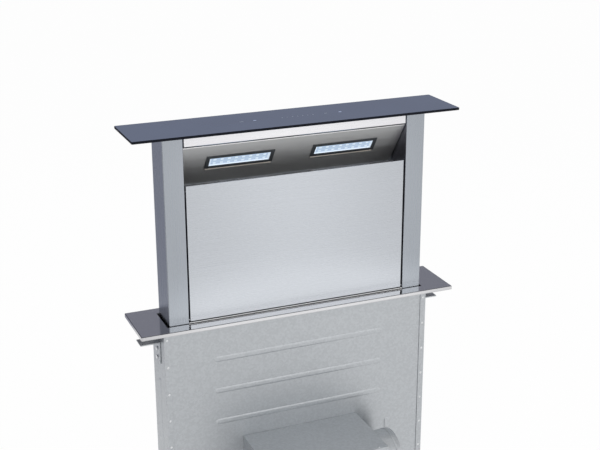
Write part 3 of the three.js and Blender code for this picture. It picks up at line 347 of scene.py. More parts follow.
# %% [markdown]
# ## Brushed steel
#
# Brushing leaves long, fine scratches that all run one way. A noise that is squeezed across
# the scratches and stretched along them gives that grain. It drives three things: how rough a
# spot is, how light it is, and a very shallow bump. Anisotropy then smears the reflections
# across the scratches, so its tangent circles the axis that the scratches run along.

# %% Helpers for finishes
NOISE_LOW, NOISE_HIGH = 0.3, 0.7  # most of a noise lies between these


def shader_of(material):
    return material.node_tree.nodes["Principled BSDF"]


def new_finish(name, colour, roughness, metallic=0.0):
    """A material with one shader whose plain numbers are set on its own sockets."""
    material = bpy.data.materials.new(name)
    material.use_nodes = True
    shader = set_inputs(shader_of(material), {
        "Base Color": (*colour, 1), "Roughness": roughness, "Metallic": metallic,
    })
    return material, material.node_tree, shader


def add_noise(tree, scale, detail=4.0, stretch=(1, 1, 1)):
    mapping = add_node(tree, "ShaderNodeMapping", {"Scale": stretch})
    noise = add_node(tree, "ShaderNodeTexNoise", {"Scale": scale, "Detail": detail})
    tree.links.new(own_metres(tree), mapping.inputs["Vector"])
    tree.links.new(mapping.outputs["Vector"], noise.inputs["Vector"])
    return noise.outputs["Fac"]


def vary_roughness(tree, shader, source, roughness, least, most):
    """The roughness goes from its least to its most share as the source rises."""
    span = add_node(tree, "ShaderNodeMapRange", {
        "From Min": NOISE_LOW, "From Max": NOISE_HIGH,
        "To Min": roughness * least, "To Max": roughness * most,
    })
    tree.links.new(source, span.inputs["Value"])
    tree.links.new(span.outputs["Result"], shader.inputs["Roughness"])


def vary_colour(tree, shader, source, colour, spread):
    """The colour gets lighter by the spread as the source rises, and darker as it falls."""
    ramp = add_node(tree, "ShaderNodeValToRGB")
    ends = zip(ramp.color_ramp.elements, (NOISE_LOW, NOISE_HIGH), (1 - spread, 1 + spread))
    for element, position, factor in ends:
        element.position = position
        element.color = (*(min(1.0, c * factor) for c in colour), 1)
    tree.links.new(source, ramp.inputs["Fac"])
    tree.links.new(ramp.outputs["Color"], shader.inputs["Base Color"])


def add_bump(tree, shader, source, strength, depth):
    bump = add_node(tree, "ShaderNodeBump", {"Strength": strength, "Distance": depth})
    tree.links.new(source, bump.inputs["Height"])
    tree.links.new(bump.outputs["Normal"], shader.inputs["Normal"])


print("finish helpers ready")

# %% The steels
GRAIN_ALONG = 6.0  # scratches a metre, along the brushing
GRAIN_ACROSS = 1400.0  # and across it


def brushed_steel(name, colour, roughness, along="X", spread=0.03, smear=0.6, metallic=1.0):
    stretch = tuple(GRAIN_ALONG if axis == along else GRAIN_ACROSS for axis in "XYZ")
    material, tree, shader = new_finish(name, colour, roughness, metallic)
    set_inputs(shader, {"Anisotropic": smear})
    grain = add_noise(tree, 1.0, detail=3.0, stretch=stretch)
    vary_roughness(tree, shader, grain, roughness, least=0.8, most=1.25)
    vary_colour(tree, shader, grain, colour, spread)
    add_bump(tree, shader, grain, strength=0.07, depth=0.00004)
    tangent = add_node(tree, "ShaderNodeTangent")
    tangent.direction_type = "RADIAL"
    tangent.axis = along
    tree.links.new(tangent.outputs["Tangent"], shader.inputs["Tangent"])
    return material


panel_steel = brushed_steel("panel_steel", (0.515, 0.537, 0.571), 0.25, smear=0.5)
column_steel = brushed_steel(
    "column_steel", (0.378, 0.404, 0.440), 0.26, along="Z", spread=0.02, smear=0.5,
)
fascia_steel = brushed_steel("fascia_steel", (0.80, 0.795, 0.815), 0.30)
recess_steel = brushed_steel(
    "recess_steel", (0.470, 0.475, 0.478), 0.46, smear=0.7, metallic=0.85,
)
# a darker steel, painted as shade on the faces that the columns turn to each other and on the
# skirt's ledge
painted_shade_steel = brushed_steel("painted_shade_steel", (0.23, 0.23, 0.27), 0.34, along="Z")
deck_steel = brushed_steel("deck_steel", (0.80, 0.80, 0.81), 0.13, smear=0.3)
# the deck's rim and fold take darker copies of its steel as painted shade
deck_rim_painted_shade_steel = brushed_steel("deck_rim_painted_shade_steel", (0.56, 0.56, 0.57), 0.16, smear=0.3)
deck_fold_painted_shade_steel = brushed_steel("deck_fold_painted_shade_steel", (0.20, 0.20, 0.215), 0.30, smear=0.3)
# painted bright: a highlight along the light panel's top edge
painted_highlight_steel = brushed_steel("painted_highlight_steel", (0.95, 0.95, 0.95), 0.42)
back_steel = brushed_steel("back_steel", (0.58, 0.60, 0.64), 0.34, along="Z")
print("brushed steels", [m.name for m in bpy.data.materials if m.name.endswith("_steel")])

# %% [markdown]
# ## Zinc, paint and plastic
#
# Galvanised sheet shows zinc crystals a few millimetres wide, each at its own angle to the
# light. A Voronoi pattern has just such cells, so each cell gets its own lightness, and the
# difference stays small, because the sheet is rolled after it is dipped.
# Plastic and paint are quieter: a fine grain in the bump keeps their gloss from looking wet.

# %% The zinc and the rest
SPANGLE_SCALE = 210.0
SPANGLE_SPREAD = 0.035


def galvanised(name, colour, roughness):
    material, tree, shader = new_finish(name, colour, roughness, metallic=1.0)
    crystals = add_node(tree, "ShaderNodeTexVoronoi", {"Scale": SPANGLE_SCALE})
    tree.links.new(own_metres(tree), crystals.inputs["Vector"])
    lightness = add_node(tree, "ShaderNodeSeparateColor")
    tree.links.new(crystals.outputs["Color"], lightness.inputs["Color"])
    vary_colour(tree, shader, lightness.outputs["Red"], colour, SPANGLE_SPREAD)
    vary_roughness(tree, shader, lightness.outputs["Green"], roughness, least=0.92, most=1.1)
    add_bump(tree, shader, add_noise(tree, 700.0), strength=0.12, depth=0.00005)
    return material


def grained(name, colour, roughness, metallic=0.0, grain=900.0, bump=0.2, spread=0.08):
    material, tree, shader = new_finish(name, colour, roughness, metallic)
    fine = add_noise(tree, grain)
    broad = add_noise(tree, 22.0, detail=5.0)
    vary_colour(tree, shader, broad, colour, spread)
    vary_roughness(tree, shader, broad, roughness, least=0.88, most=1.12)
    add_bump(tree, shader, fine, strength=bump, depth=0.00008)
    return material


zinc = galvanised("zinc_sheet", (0.50, 0.52, 0.54), 0.45)
aluminium = grained("filter_aluminium", (0.74, 0.75, 0.76), 0.38, metallic=1.0, bump=0.12)
# dark: painted shade of a filter's layers further in
painted_shade_filter_core = grained("painted_shade_filter_core", (0.20, 0.205, 0.21), 0.6, metallic=1.0)
gear_steel = grained("gear_steel", (0.40, 0.41, 0.43), 0.30, metallic=1.0, bump=0.1)
skirt_steel = grained(
    "skirt_steel", (0.96, 0.97, 0.98), 0.50, metallic=0.2, bump=0.05, spread=0.02,
)
screw_steel = grained("screw_steel", (0.66, 0.67, 0.69), 0.28, metallic=1.0, bump=0.06)
# warm tan: a painted reflection of a warm worktop, for the lamps' lips
lip_painted_reflection_steel = grained("lip_painted_reflection_steel", (0.82, 0.75, 0.67), 0.40, metallic=0.7, bump=0.05)
bronze = grained("bush_bronze", (0.58, 0.38, 0.17), 0.36, metallic=1.0)
motor_paint = grained("motor_paint", (0.05, 0.054, 0.06), 0.42)
black_plastic = grained("black_plastic", (0.022, 0.023, 0.026), 0.46)
bezel_plastic = grained("bezel_plastic", (0.050, 0.055, 0.060), 0.34, bump=0.08)
grey_plastic = grained("grey_plastic", (0.24, 0.25, 0.26), 0.5)
acetal = grained("slide_acetal", (0.80, 0.79, 0.75), 0.34, bump=0.08)
foam_rubber = grained("foam_rubber", (0.020, 0.020, 0.022), 0.85, grain=1500.0, bump=0.5)
green_board = grained("circuit_board", (0.04, 0.16, 0.08), 0.38, bump=0.05)
print("zinc, aluminium, gear steel, bronze, paint, plastics and foam ready")

# %% [markdown]
# ## Glass and light
#
# The top is tempered glass with a dark blue-grey coat on its underside. Its ground edge shows
# the glass's own dark body, so the edge has a finish of its own. A lamp's lens is moulded with
# one facet for each LED behind it: the facet's tip shows the LED as a bright spot, and the
# rest glows a paler blue.


# %% The glass and the light
def coated_glass(name, colour, roughness):
    material, tree, shader = new_finish(name, colour, roughness)
    set_inputs(shader, {"IOR": 1.52, "Coat Weight": 0.25, "Coat Roughness": 0.03})
    wiped = add_noise(tree, 9.0, detail=3.0)
    vary_roughness(tree, shader, wiped, roughness, least=0.7, most=1.5)
    vary_colour(tree, shader, wiped, colour, spread=0.03)
    return material


def lit(name, colour, glow, strength, roughness=0.4):
    material, tree, shader = new_finish(name, colour, roughness)
    set_inputs(shader, {"Emission Color": (*glow, 1), "Emission Strength": strength})
    add_bump(tree, shader, add_noise(tree, 500.0), strength=0.05, depth=0.00005)
    return material


glass_face = coated_glass("glass_face", (0.1155, 0.145, 0.227), 0.06)
glass_edge = grained("glass_edge", (0.004, 0.005, 0.010), 0.5, bump=0.02)
set_inputs(shader_of(glass_edge), {"Specular IOR Level": 0.12})
touch_print = lit("touch_print", (0.30, 0.33, 0.40), (0.5, 0.55, 0.65), 0.10)
touch_light = lit("touch_light", (0.40, 0.46, 0.62), (0.45, 0.55, 0.85), 0.35)
lamp_board = lit("lamp_board", (0.70, 0.80, 0.92), (0.52, 0.70, 0.92), 0.75)
lens_body = lit("lens_body", (0.24, 0.30, 0.36), (0.53, 0.67, 0.86), 0.66, roughness=0.22)
lens_spot = lit("lens_spot", (0.44, 0.49, 0.54), (0.74, 0.86, 1.0), 0.69, roughness=0.22)
lens_wall = lit("lens_wall", (0.40, 0.45, 0.50), (0.70, 0.82, 0.96), 0.66, roughness=0.3)
print("glass, touch marks, lens and lamp board ready")

# %% [markdown]
# ## Rounding every edge
#
# No real sheet or moulding has a perfectly sharp edge, and the thin bright line on an edge is
# what makes a render read as metal. A CAD part's mesh is full of triangles, so the copy's flat
# faces are first joined into whole ones. The Bevel modifier then rounds only true corners. The
# Weighted Normal modifier keeps the large faces flat, so that all the bend shows in the corner.

# %% Helpers that make a piece
finish_of_slot = {
    "dark_glass": glass_face, "stainless": panel_steel, "zinc_steel": zinc,
    "aluminium": aluminium, "gear_steel": gear_steel, "bronze": bronze,
    "motor_paint": motor_paint, "black_plastic": black_plastic, "grey_plastic": grey_plastic,
    "acetal": acetal, "rubber": foam_rubber, "lamp_lens": lens_body, "led_board": lamp_board,
    "circuit_board": green_board,
}
finish_of_node = {
    "top_fascia": fascia_steel, "mast_back_panel": back_steel,
    "left_lamp_bezel": bezel_plastic, "right_lamp_bezel": bezel_plastic,
}
FLAT = math.radians(1.0)
CORNER = math.radians(32)
MERGE = 2e-6
SMALL_ROUND = 0.0004


def new_piece(name, form, finishes, body, round_off=0.0):
    """A bmesh becomes a piece that rides on a body. Its finishes are its material slots."""
    mesh = bpy.data.meshes.new(name)
    form.to_mesh(mesh)
    form.free()
    mesh.polygons.foreach_set("use_smooth", [True] * len(mesh.polygons))
    mesh.set_sharp_from_angle(angle=CORNER)
    for finish in finishes:
        mesh.materials.append(finish)
    piece = put_in_scene(name, mesh)
    if round_off:
        bevel = piece.modifiers.new("rounded_edges", "BEVEL")
        bevel.width = round_off
        bevel.segments = 2
        bevel.limit_method = "ANGLE"
        bevel.angle_limit = CORNER
    weighted = piece.modifiers.new("flat_faces_stay_flat", "WEIGHTED_NORMAL")
    weighted.keep_sharp = True
    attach(piece, body)
    return piece


def whole_faces(node):
    """The node's mesh with each flat face joined into one."""
    form = bmesh.new()
    form.from_mesh(nodes[node].data)
    bmesh.ops.remove_doubles(form, verts=form.verts, dist=MERGE)
    bmesh.ops.dissolve_limit(form, angle_limit=FLAT, verts=form.verts, edges=form.edges)
    paint(form, lambda face: 0)
    return form


def paint(form, finish_number):
    """Each face gets the finish whose number the function says."""
    form.normal_update()
    for face in form.faces:
        face.material_index = finish_number(face)


def dress(node, round_off=SMALL_ROUND, form=None, finishes=None):
    """A copy of a CAD node with whole faces and rounded edges, which stands for the node."""
    finishes = finishes or [finish_of_node.get(node, finish_of_slot[slot_of[node]])]
    form = form or whole_faces(node)
    piece = new_piece(
        node + "_rounded", form, finishes, body_of[node], round_off,
    )
    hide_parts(node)


print("piece helpers ready")

# %% Dress the plain nodes
ROUND_OFF = {
    "blower_housing": 0.0006, "control_box": 0.0009, "impeller": 0.0002,
    "left_pinion": 0.0002, "right_pinion": 0.0002, "left_rack": 0.0002, "right_rack": 0.0002,
    "lift_gearmotor": 0.0012, "deck_seal": 0.0008,
}
FEET = [side + row + "foot" for side in ("left_", "right_") for row in ("front_", "rear_")]
OWN_FORM = {
    "glass_top", "left_lamp_lens", "right_lamp_lens", "left_grease_filter",
    "right_grease_filter", "deck_plate", "front_panel", "front_skirt", "light_panel",
    "left_column", "right_column", "blower_cover", "control_box_lid", *FEET,
}
for node in sorted(set(nodes) - OWN_FORM):
    dress(node, ROUND_OFF.get(node, SMALL_ROUND))
print("dressed", len(nodes) - len(OWN_FORM), "nodes as they are")

# %% [markdown]
# ## Folded corners
#
# A sheet that is folded over a press has a corner as round as the sheet is thick. Such a corner
# is wide enough to be seen: it shows as a line of another shade. The deck plate's rim and the
# front panel's edges get one with bmesh's bevel, which takes just the edges it is given. The
# deck's face, its rim and the fold between them each have a finish of their own: the rim's is a
# darker copy of the deck's steel and the fold's a near-black one, both painted shade.

# %% Deck plate and front panel
SIDES = {"left": -1, "right": 1}
FACING = 0.99  # a face looks along an axis if its normal reaches this far along it
MOSTLY = 0.9  # and mostly along it if the normal reaches this far
ASIDE = 0.01  # a face looks aside from an axis if its normal reaches no further than this
FOLD_RISE = 0.4  # the deck's fold rises more than this, its rim less
DECK_FOLD, PANEL_FOLD = 0.0017, 0.0012  # radii
SIDE_DROP = 0.004  # a folded side's middle is further than this below the deck's face
FOLD_ROUND = 0.0003  # on the folded pieces' other edges


def fold_round(form, edges, radius, segments=4):
    bmesh.ops.bevel(
        form, geom=edges, offset=radius, offset_type="OFFSET", segments=segments, profile=0.5,
        affect="EDGES", clamp_overlap=True,
    )


def rim_edges(form, face_is_front, side_is_fold):
    """Edges between the sheet's front and its folded sides."""
    form.normal_update()
    return [
        edge for edge in form.edges if len(edge.link_faces) == 2 and any(
            face_is_front(a) and side_is_fold(b)
            for a, b in (edge.link_faces, reversed(edge.link_faces))
        )
    ]


deck_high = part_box("deck_plate")[1]
deck_form = whole_faces("deck_plate")
deck_rim = rim_edges(
    deck_form,
    lambda face: face.normal.z > FACING
    and face.calc_center_median().z > deck_high[2] - MERGE,
    lambda face: abs(face.normal.z) < ASIDE
    and face.calc_center_median().z < deck_high[2] - SIDE_DROP,
)
fold_round(deck_form, deck_rim, DECK_FOLD)
# the rim and the fold get darker finishes than the face: painted shade
paint(deck_form, lambda face: (
    0 if face.normal.z > FACING else 2 if face.normal.z > FOLD_RISE else 1
))
dress("deck_plate", FOLD_ROUND, deck_form, [deck_steel, deck_rim_painted_shade_steel, deck_fold_painted_shade_steel])
panel_low, panel_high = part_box("front_panel")
panel_form = whole_faces("front_panel")
panel_rim = rim_edges(
    panel_form,
    lambda face: face.normal.y < -FACING
    and face.calc_center_median().y < panel_low[1] + MERGE,
    lambda face: abs(face.normal.y) < ASIDE
    and (abs(face.normal.x) > FACING or face.normal.z > FACING),
)
fold_round(panel_form, panel_rim, PANEL_FOLD)
dress("front_panel", FOLD_ROUND, panel_form)
print("folded corners: deck", len(deck_rim), "edges, panel", len(panel_rim))

# %% [markdown]
# ## Light panel, skirt and columns
#
# The light panel leans, so it has axes of its own. Its top edge is folded. Its end and the part
# of the fold next to it are painted black as the shade of the gap below the fascia, and a band
# of its face under them is painted bright as a highlight. Of the skirt only the front face is
# satin and pale. Its other faces, and the faces that the columns turn to each other, are
# painted darker as shade.

# %% Light panel, skirt and columns
ACROSS, BACK, UP = Vector((1, 0, 0)), Vector((0, 1, 0)), Vector((0, 0, 1))
LIGHT_TILT = math.radians(36)  # of the light panel, from upright
LIGHT_FOLD = 0.0014
LIGHT_TOP_ZONE = 0.01  # only faces this close to the panel's top are its end
LIGHT_END_TURN = 0.5  # faces that look up the slope more than this are painted black as the gap's shade
HIGHLIGHT_BAND = 0.0045  # how wide the band under the top edge is, which is painted bright as a highlight
slope_up = UP * math.cos(LIGHT_TILT) - BACK * math.sin(LIGHT_TILT)
slope_out = -BACK * math.cos(LIGHT_TILT) - UP * math.sin(LIGHT_TILT)
light_form = whole_faces("light_panel")
light_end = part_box("light_panel")[1][2] - LIGHT_TOP_ZONE
light_rim = rim_edges(
    light_form,
    lambda face: face.normal.dot(slope_out) > FACING,
    lambda face: face.normal.dot(slope_up) > FACING
    and face.calc_center_median().z > light_end,
)
fold_round(light_form, light_rim, LIGHT_FOLD)
highlight_band_line = max(corner.co.dot(slope_up) for corner in light_form.verts) - HIGHLIGHT_BAND
bmesh.ops.bisect_plane(
    light_form, geom=[*light_form.verts, *light_form.edges, *light_form.faces], dist=MERGE,
    plane_co=slope_up * highlight_band_line, plane_no=slope_up,
)


# The end faces are painted black as shade of the gap under the fascia; a band of the front face
# under them is painted bright as a highlight.
def light_finish(face):
    if face.normal.dot(slope_up) > LIGHT_END_TURN:
        return 1
    in_highlight_band = face.calc_center_median().dot(slope_up) > highlight_band_line
    return 2 if in_highlight_band and face.normal.dot(slope_out) > FACING else 0


paint(light_form, light_finish)
dress("light_panel", FOLD_ROUND, light_form, [recess_steel, black_plastic, painted_highlight_steel])
skirt_form = whole_faces("front_skirt")
# the skirt's faces other than its front get the darker steel as painted shade
paint(skirt_form, lambda face: 0 if face.normal.y < -MOSTLY else 1)
dress("front_skirt", FOLD_ROUND, skirt_form, [skirt_steel, painted_shade_steel])
for side, sign in SIDES.items():
    column_form = whole_faces(side + "_column")
    # the faces that the columns turn to each other get the darker steel as painted shade
    paint(column_form, lambda face: 1 if face.normal.x * sign < -FACING else 0)
    dress(side + "_column", SMALL_ROUND, column_form, [column_steel, painted_shade_steel])
print("light panel with", len(light_rim), "folded edge, skirt and two columns")

# %% [markdown]
# ## The glass top
#
# Seen from above, the glass is blue-grey and its ground edge is almost black. The two get
# their finish by which way each face looks. The touch marks are printed under the real glass.
# Here they are very thin plates let into its face, which the copy's face is lowered for.

# %% Glass and touch marks
MARK_DEPTH = 0.00006
EDGE_SHADE_DEPTH = 0.0006  # the glass's dark edge reaches this far below it, as painted shade of the gap under the glass
MARK_LINE = 0.070  # how far back the marks lie
PRINTS = [  # across from the middle, half length and radius
    (-0.135, 0.0050, 0.0012), *((-0.027 + step * 0.014, 0.0016, 0.0016) for step in range(7)),
    (0.092, 0.0036, 0.0016),
]
LIGHTS = [(-0.100, 0.0038, 0.0017), (0.132, 0.0042, 0.0018)]


def stadium(form, middle, along, beside, reach, radius, corners=10):
    """A ring of corners: two half circles, each as far from the middle as the reach."""
    ring = []
    for step in range(2 * corners):
        turn = math.pi * (step + 0.5) / corners
        end = reach if math.cos(turn) > 0 else -reach
        ring.append(form.verts.new(
            middle + along * (end + radius * math.cos(turn)) + beside * radius * math.sin(turn)
        ))
    return ring


def add_face(form, corners, index=0):
    form.faces.new(corners).material_index = index


def add_wall(form, lower, upper, index=0):
    """Faces all round between two rings of as many corners."""
    for k in range(len(lower)):
        m = (k + 1) % len(lower)
        add_face(form, (lower[k], lower[m], upper[m], upper[k]), index)


def loft(form, rings):
    """Walls from each ring to the next, and a cap on both ends."""
    for lower, upper in zip(rings, rings[1:]):
        add_wall(form, lower, upper)
    add_face(form, list(reversed(rings[0])))
    add_face(form, rings[-1])


def face_outwards(form):
    bmesh.ops.recalc_face_normals(form, faces=form.faces)


low_glass, high_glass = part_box("glass_top")
form = whole_faces("glass_top")
paint(form, lambda face: 0 if abs(face.normal.z) > MOSTLY else 1)
for corner in form.verts:
    if corner.co.z > high_glass[2] - MERGE:
        corner.co.z -= MARK_DEPTH
    # the bottom is lowered, so that the dark edge also covers the gap below it as painted shade
    if corner.co.z < low_glass[2] + MERGE:
        corner.co.z -= EDGE_SHADE_DEPTH
dress("glass_top", 0.0002, form, [glass_face, glass_edge])
mark_heights = (high_glass[2] - 3 * MARK_DEPTH, high_glass[2])
for name, finish, plates in (
    ("touch_marks", touch_print, PRINTS), ("touch_lights", touch_light, LIGHTS),
):
    form = bmesh.new()
    for x, half_length, radius in plates:
        loft(form, [
            stadium(form, Vector((x, MARK_LINE, z)), ACROSS, BACK, half_length - radius, radius)
            for z in mark_heights
        ])
    new_piece(name, form, [finish], "mast")
print("glass top with touch marks at height", round(high_glass[2], 4))

# %% [markdown]
# ## The lamps' lenses
#
# Each lens is a shallow tray: a sloping white wall all round and a floor of facets, eight
# across and two high. A facet is a low pyramid with its tip cut off. It is built on the lens's
# own axes, u across, v up the slope and w out of it.

# %% Faceted lenses
LENS_HALF = (0.080, 0.0145)
LENS_HALF_THICK = 0.0015
FACET_COUNT = (8, 2)
WALL_RUN = (0.0048, 0.0019)  # how far the wall reaches in, at the ends and at the long sides
FACET_FLOOR, FACET_TIP = -0.0008, 0.0004  # w of the facets' feet and tips
TIP_HALF = 0.20  # half a tip's width, as a share of its facet's


def slope_place(centre, u, v, w):
    return centre + ACROSS * u + slope_up * v + slope_out * w


def box_middle(node):
    low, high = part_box(node)
    return (Vector(low) + Vector(high)) / 2


def facet_grid(form, centre):
    """Facets over the tray's floor. Returns the rows of corner points between them."""
    half_u, half_v = (half - run for half, run in zip(LENS_HALF, WALL_RUN))
    columns, rows = FACET_COUNT
    step_u, step_v = 2 * half_u / columns, 2 * half_v / rows

    def point(i, j, w):
        return form.verts.new(slope_place(centre, i * step_u - half_u, j * step_v - half_v, w))

    grid = [[point(i, j, FACET_FLOOR) for i in range(columns + 1)] for j in range(rows + 1)]
    for j in range(rows):
        for i in range(columns):
            feet = [grid[j][i], grid[j][i + 1], grid[j + 1][i + 1], grid[j + 1][i]]
            tips = [
                point(i + 0.5 + a * TIP_HALF, j + 0.5 + b * TIP_HALF, FACET_TIP)
                for a, b in SQUARE
            ]
            add_wall(form, feet, tips)
            add_face(form, tips, 1)
    return grid


def lamp_lens(node):
    centre = box_middle(node)
    form = bmesh.new()
    grid = facet_grid(form, centre)
    half_u, half_v = LENS_HALF
    rim, back = (
        [form.verts.new(slope_place(centre, a * half_u, b * half_v, w)) for a, b in SQUARE]
        for w in (LENS_HALF_THICK, -LENS_HALF_THICK)
    )
    edges = [
        grid[0], [row[-1] for row in grid],
        list(reversed(grid[-1])), [row[0] for row in reversed(grid)],
    ]
    for k, edge in enumerate(edges):
        add_face(form, [rim[k], rim[(k + 1) % 4], *reversed(edge)], 2)
    add_wall(form, back, rim, 2)
    add_face(form, list(reversed(back)), 2)
    dress(node, 0.0, form, [lens_body, lens_spot, lens_wall])
    return centre


for side in SIDES:
    lens_centre = lamp_lens(side + "_lamp_lens")
    print(side, "lens at", [round(x, 4) for x in lens_centre])

# %% [markdown]
# ## A pressed lip under each lamp
#
# The opening for a lamp is stamped, and the stamp leaves a low lip of steel along its lower
# side. The bezel hides what is close below it from above, so the lip shows as a thin line of its
# own. It rises like a wedge, so that its face looks forward and catches the light.

# %% Lamp lips
LIP_HALF_WIDTH = 0.0875
LIP_START, LIP_CREST, LIP_END = 0.0236, 0.0274, 0.0286  # from the lamp's middle down the slope
LIP_HEIGHT = 0.0020
LIP_SUNK = 0.0004
PANEL_FACE = 0.0023  # the light panel's face, under the bezel's
LIP_PROFILE = (
    (LIP_START, -LIP_SUNK), (LIP_START, 0.0), (LIP_CREST, LIP_HEIGHT), (LIP_END, -LIP_SUNK),
)


def lamp_lip(side):
    bezel = nodes[side + "_lamp_bezel"].data.vertices
    bezel_face = max(Vector(v.co).dot(slope_out) for v in bezel)
    centre = box_middle(side + "_lamp_lens")
    centre += slope_out * (bezel_face - PANEL_FACE - centre.dot(slope_out))
    form = bmesh.new()
    loft(form, [
        [form.verts.new(slope_place(centre, u, -v, w)) for v, w in LIP_PROFILE]
        for u in (-LIP_HALF_WIDTH, LIP_HALF_WIDTH)
    ])
    face_outwards(form)
    # the lip's tan colour is a painted reflection of a warm worktop
    new_piece(side + "_lamp_lip", form, [lip_painted_reflection_steel], "mast", 0.0001)


for side in SIDES:
    lamp_lip(side)
print("lips of", LIP_HEIGHT * 1000, "mm under both lamps")

# %% [markdown]
# ## Grease filters
#
# Each filter is a frame round layers of expanded aluminium: a sheet that is slit and pulled
# open into diamonds. A row of diamonds is one zigzag strand, so a layer is a stack of zigzag
# strands, each the mirror of the next. The CAD node has a plain sheet there; it gets a dark
# finish as painted shade, standing for the shaded layers further in.

# %% Filter frames and mesh
FILTER_THICK = 0.009
FILTER_BORDER = 0.015
STRAND_PITCH = 0.0062  # between strands, up the filter
STRAND_SWING = 0.0026  # of a zigzag, either way
STRAND_STEP = 0.008  # half a diamond, across
STRAND_HALF = (0.0005, 0.0004)  # half a strand's width and depth
MESH_DEPTH = 0.0014  # mesh behind the frame's face


def leaning_frame(node):
    """Axes of a leaning plate, v up it and w out of its front, and its reach along them."""
    faces = [face for face in nodes[node].data.polygons if face.normal.y < -MOSTLY]
    out = max(faces, key=lambda face: face.area).normal.copy()
    up = Vector((0, -out.z, out.y))
    up = up if up.z > 0 else -up
    places = [v.co for v in nodes[node].data.vertices]
    reach = {
        name: (min(p.dot(axis) for p in places), max(p.dot(axis) for p in places))
        for name, axis in (("u", ACROSS), ("v", up), ("w", out))
    }
    return up, out, reach


def add_strand(form, points, up, out):
    """A closed strand of four sides along a zigzag."""
    half_up, half_out = up * STRAND_HALF[0], out * STRAND_HALF[1]
    loft(form, [
        [form.verts.new(point + half_up * a + half_out * b) for a, b in SQUARE]
        for point in points
    ])


def filter_mesh(u_range, v_range, up, out, front):
    """The strands between the frame's inner edges, with how many rows and steps there are."""
    mesh = bmesh.new()
    columns = int((u_range[1] - u_range[0]) / STRAND_STEP)
    rows = int((v_range[1] - v_range[0] - 2 * STRAND_SWING) / STRAND_PITCH)
    step = (u_range[1] - u_range[0]) / columns
    for row in range(rows + 1):
        middle = v_range[0] + STRAND_SWING + STRAND_HALF[0] + row * STRAND_PITCH
        points = []
        for column in range(columns + 1):
            height = middle + (STRAND_SWING if (row + column) % 2 else -STRAND_SWING)
            across = ACROSS * (u_range[0] + column * step)
            points.append(across + up * height + out * (front - MESH_DEPTH))
        add_strand(mesh, points, up, out)
    face_outwards(mesh)
    return mesh, rows, columns


def grease_filter(node):
    up, out, reach = leaning_frame(node)
    back = reach["w"][0]
    front = back + FILTER_THICK
    u_range, v_range = (
        (reach[name][0] + FILTER_BORDER, reach[name][1] - FILTER_BORDER) for name in "uv"
    )

    def is_sheet(face):
        middle = face.calc_center_median()
        inside = u_range[0] < middle.x < u_range[1] and v_range[0] < middle.dot(up) < v_range[1]
        between = back + MERGE < middle.dot(out) < front - MERGE
        return inside and between and abs(face.normal.dot(out)) > MOSTLY

    form = whole_faces(node)
    # the inner sheet gets the dark finish as painted shade
    paint(form, lambda face: 1 if is_sheet(face) else 0)
    dress(node, SMALL_ROUND, form, [aluminium, painted_shade_filter_core])
    mesh, rows, columns = filter_mesh(u_range, v_range, up, out, front)
    new_piece(node + "_mesh", mesh, [aluminium], "mast")
    return rows, columns


for side in SIDES:
    print(side, "filter mesh, strands and bends", grease_filter(side + "_grease_filter"))

# %% [markdown]
# ## Screws, rivets and bolts
#
# All of these are turned forms: a profile that goes round an axis. The screw's drive is a star
# with six points. It comes from pulling every second point of the recess inwards. A blind rivet
# is a low dome with a hole where its pin broke off, and a bolt's head has six sides.

# %% Turned fasteners
SCREW_HEAD = (
    (1.0, 0), (1.0, 0.45), (0.86, 0.85), (0.62, 1.0),
    (0.52, 1.0, 0.74), (0.46, 0.35, 0.74), (0, 0.35),
)
RIVET_HEAD = ((1.0, 0), (0.96, 0.35), (0.72, 0.85), (0.38, 1.0), (0.30, 0.45), (0, 0.45))
BOLT_HEAD = ((0.93, 0), (1.0, 0.08), (1.0, 0.86), (0.88, 1.0), (0, 1.0))
SUNK = 0.0002  # how far a small piece reaches into what carries it


def turned(form, place, axis, profile, sides=12, index=0):
    """Points of (radius, height) go round an axis. A third number pulls every second point in."""
    place, axis = Vector(place), Vector(axis).normalized()
    across = axis.orthogonal().normalized()
    beside = axis.cross(across)
    rings = []
    for radius, height, *star in profile:
        count = sides if radius else 1
        ring = []
        for step in range(count):
            turn = 2 * math.pi * step / count
            reach = radius * (star[0] if star and step % 2 else 1)
            ring.append(form.verts.new(
                place + axis * height + (across * math.cos(turn) + beside * math.sin(turn)) * reach
            ))
        rings.append(ring)
    for lower, upper in zip(rings, rings[1:]):
        for step in range(sides):
            after = (step + 1) % sides
            corners = []
            for ring, place_in in ((lower, step), (lower, after), (upper, after), (upper, step)):
                corner = ring[place_in % len(ring)]
                if corner not in corners:
                    corners.append(corner)
            add_face(form, corners, index)
    for ring in (list(reversed(rings[0])), rings[-1]):
        if len(ring) > 1:
            add_face(form, ring, index)


def fasteners(name, places, axis, head, radius, height, finish, body, slot, sides=12):
    """One piece with a head at every place."""
    form = bmesh.new()
    axis = Vector(axis)
    profile = [(r * radius, h * height, *star) for r, h, *star in head]
    for place in places:
        turned(form, Vector(place) - axis * SUNK, axis, profile, sides)
    new_piece(name, form, [finish], body)
    return len(places)


def sheet_screws(name, places, axis, size, slot="zinc_steel"):
    fasteners(name, places, axis, SCREW_HEAD, *size, screw_steel, "chassis", slot)


def spread(first, last, count):
    return [first + (last - first) * step / (count - 1) for step in range(count)]


print("profiles for screws, rivets and bolts")

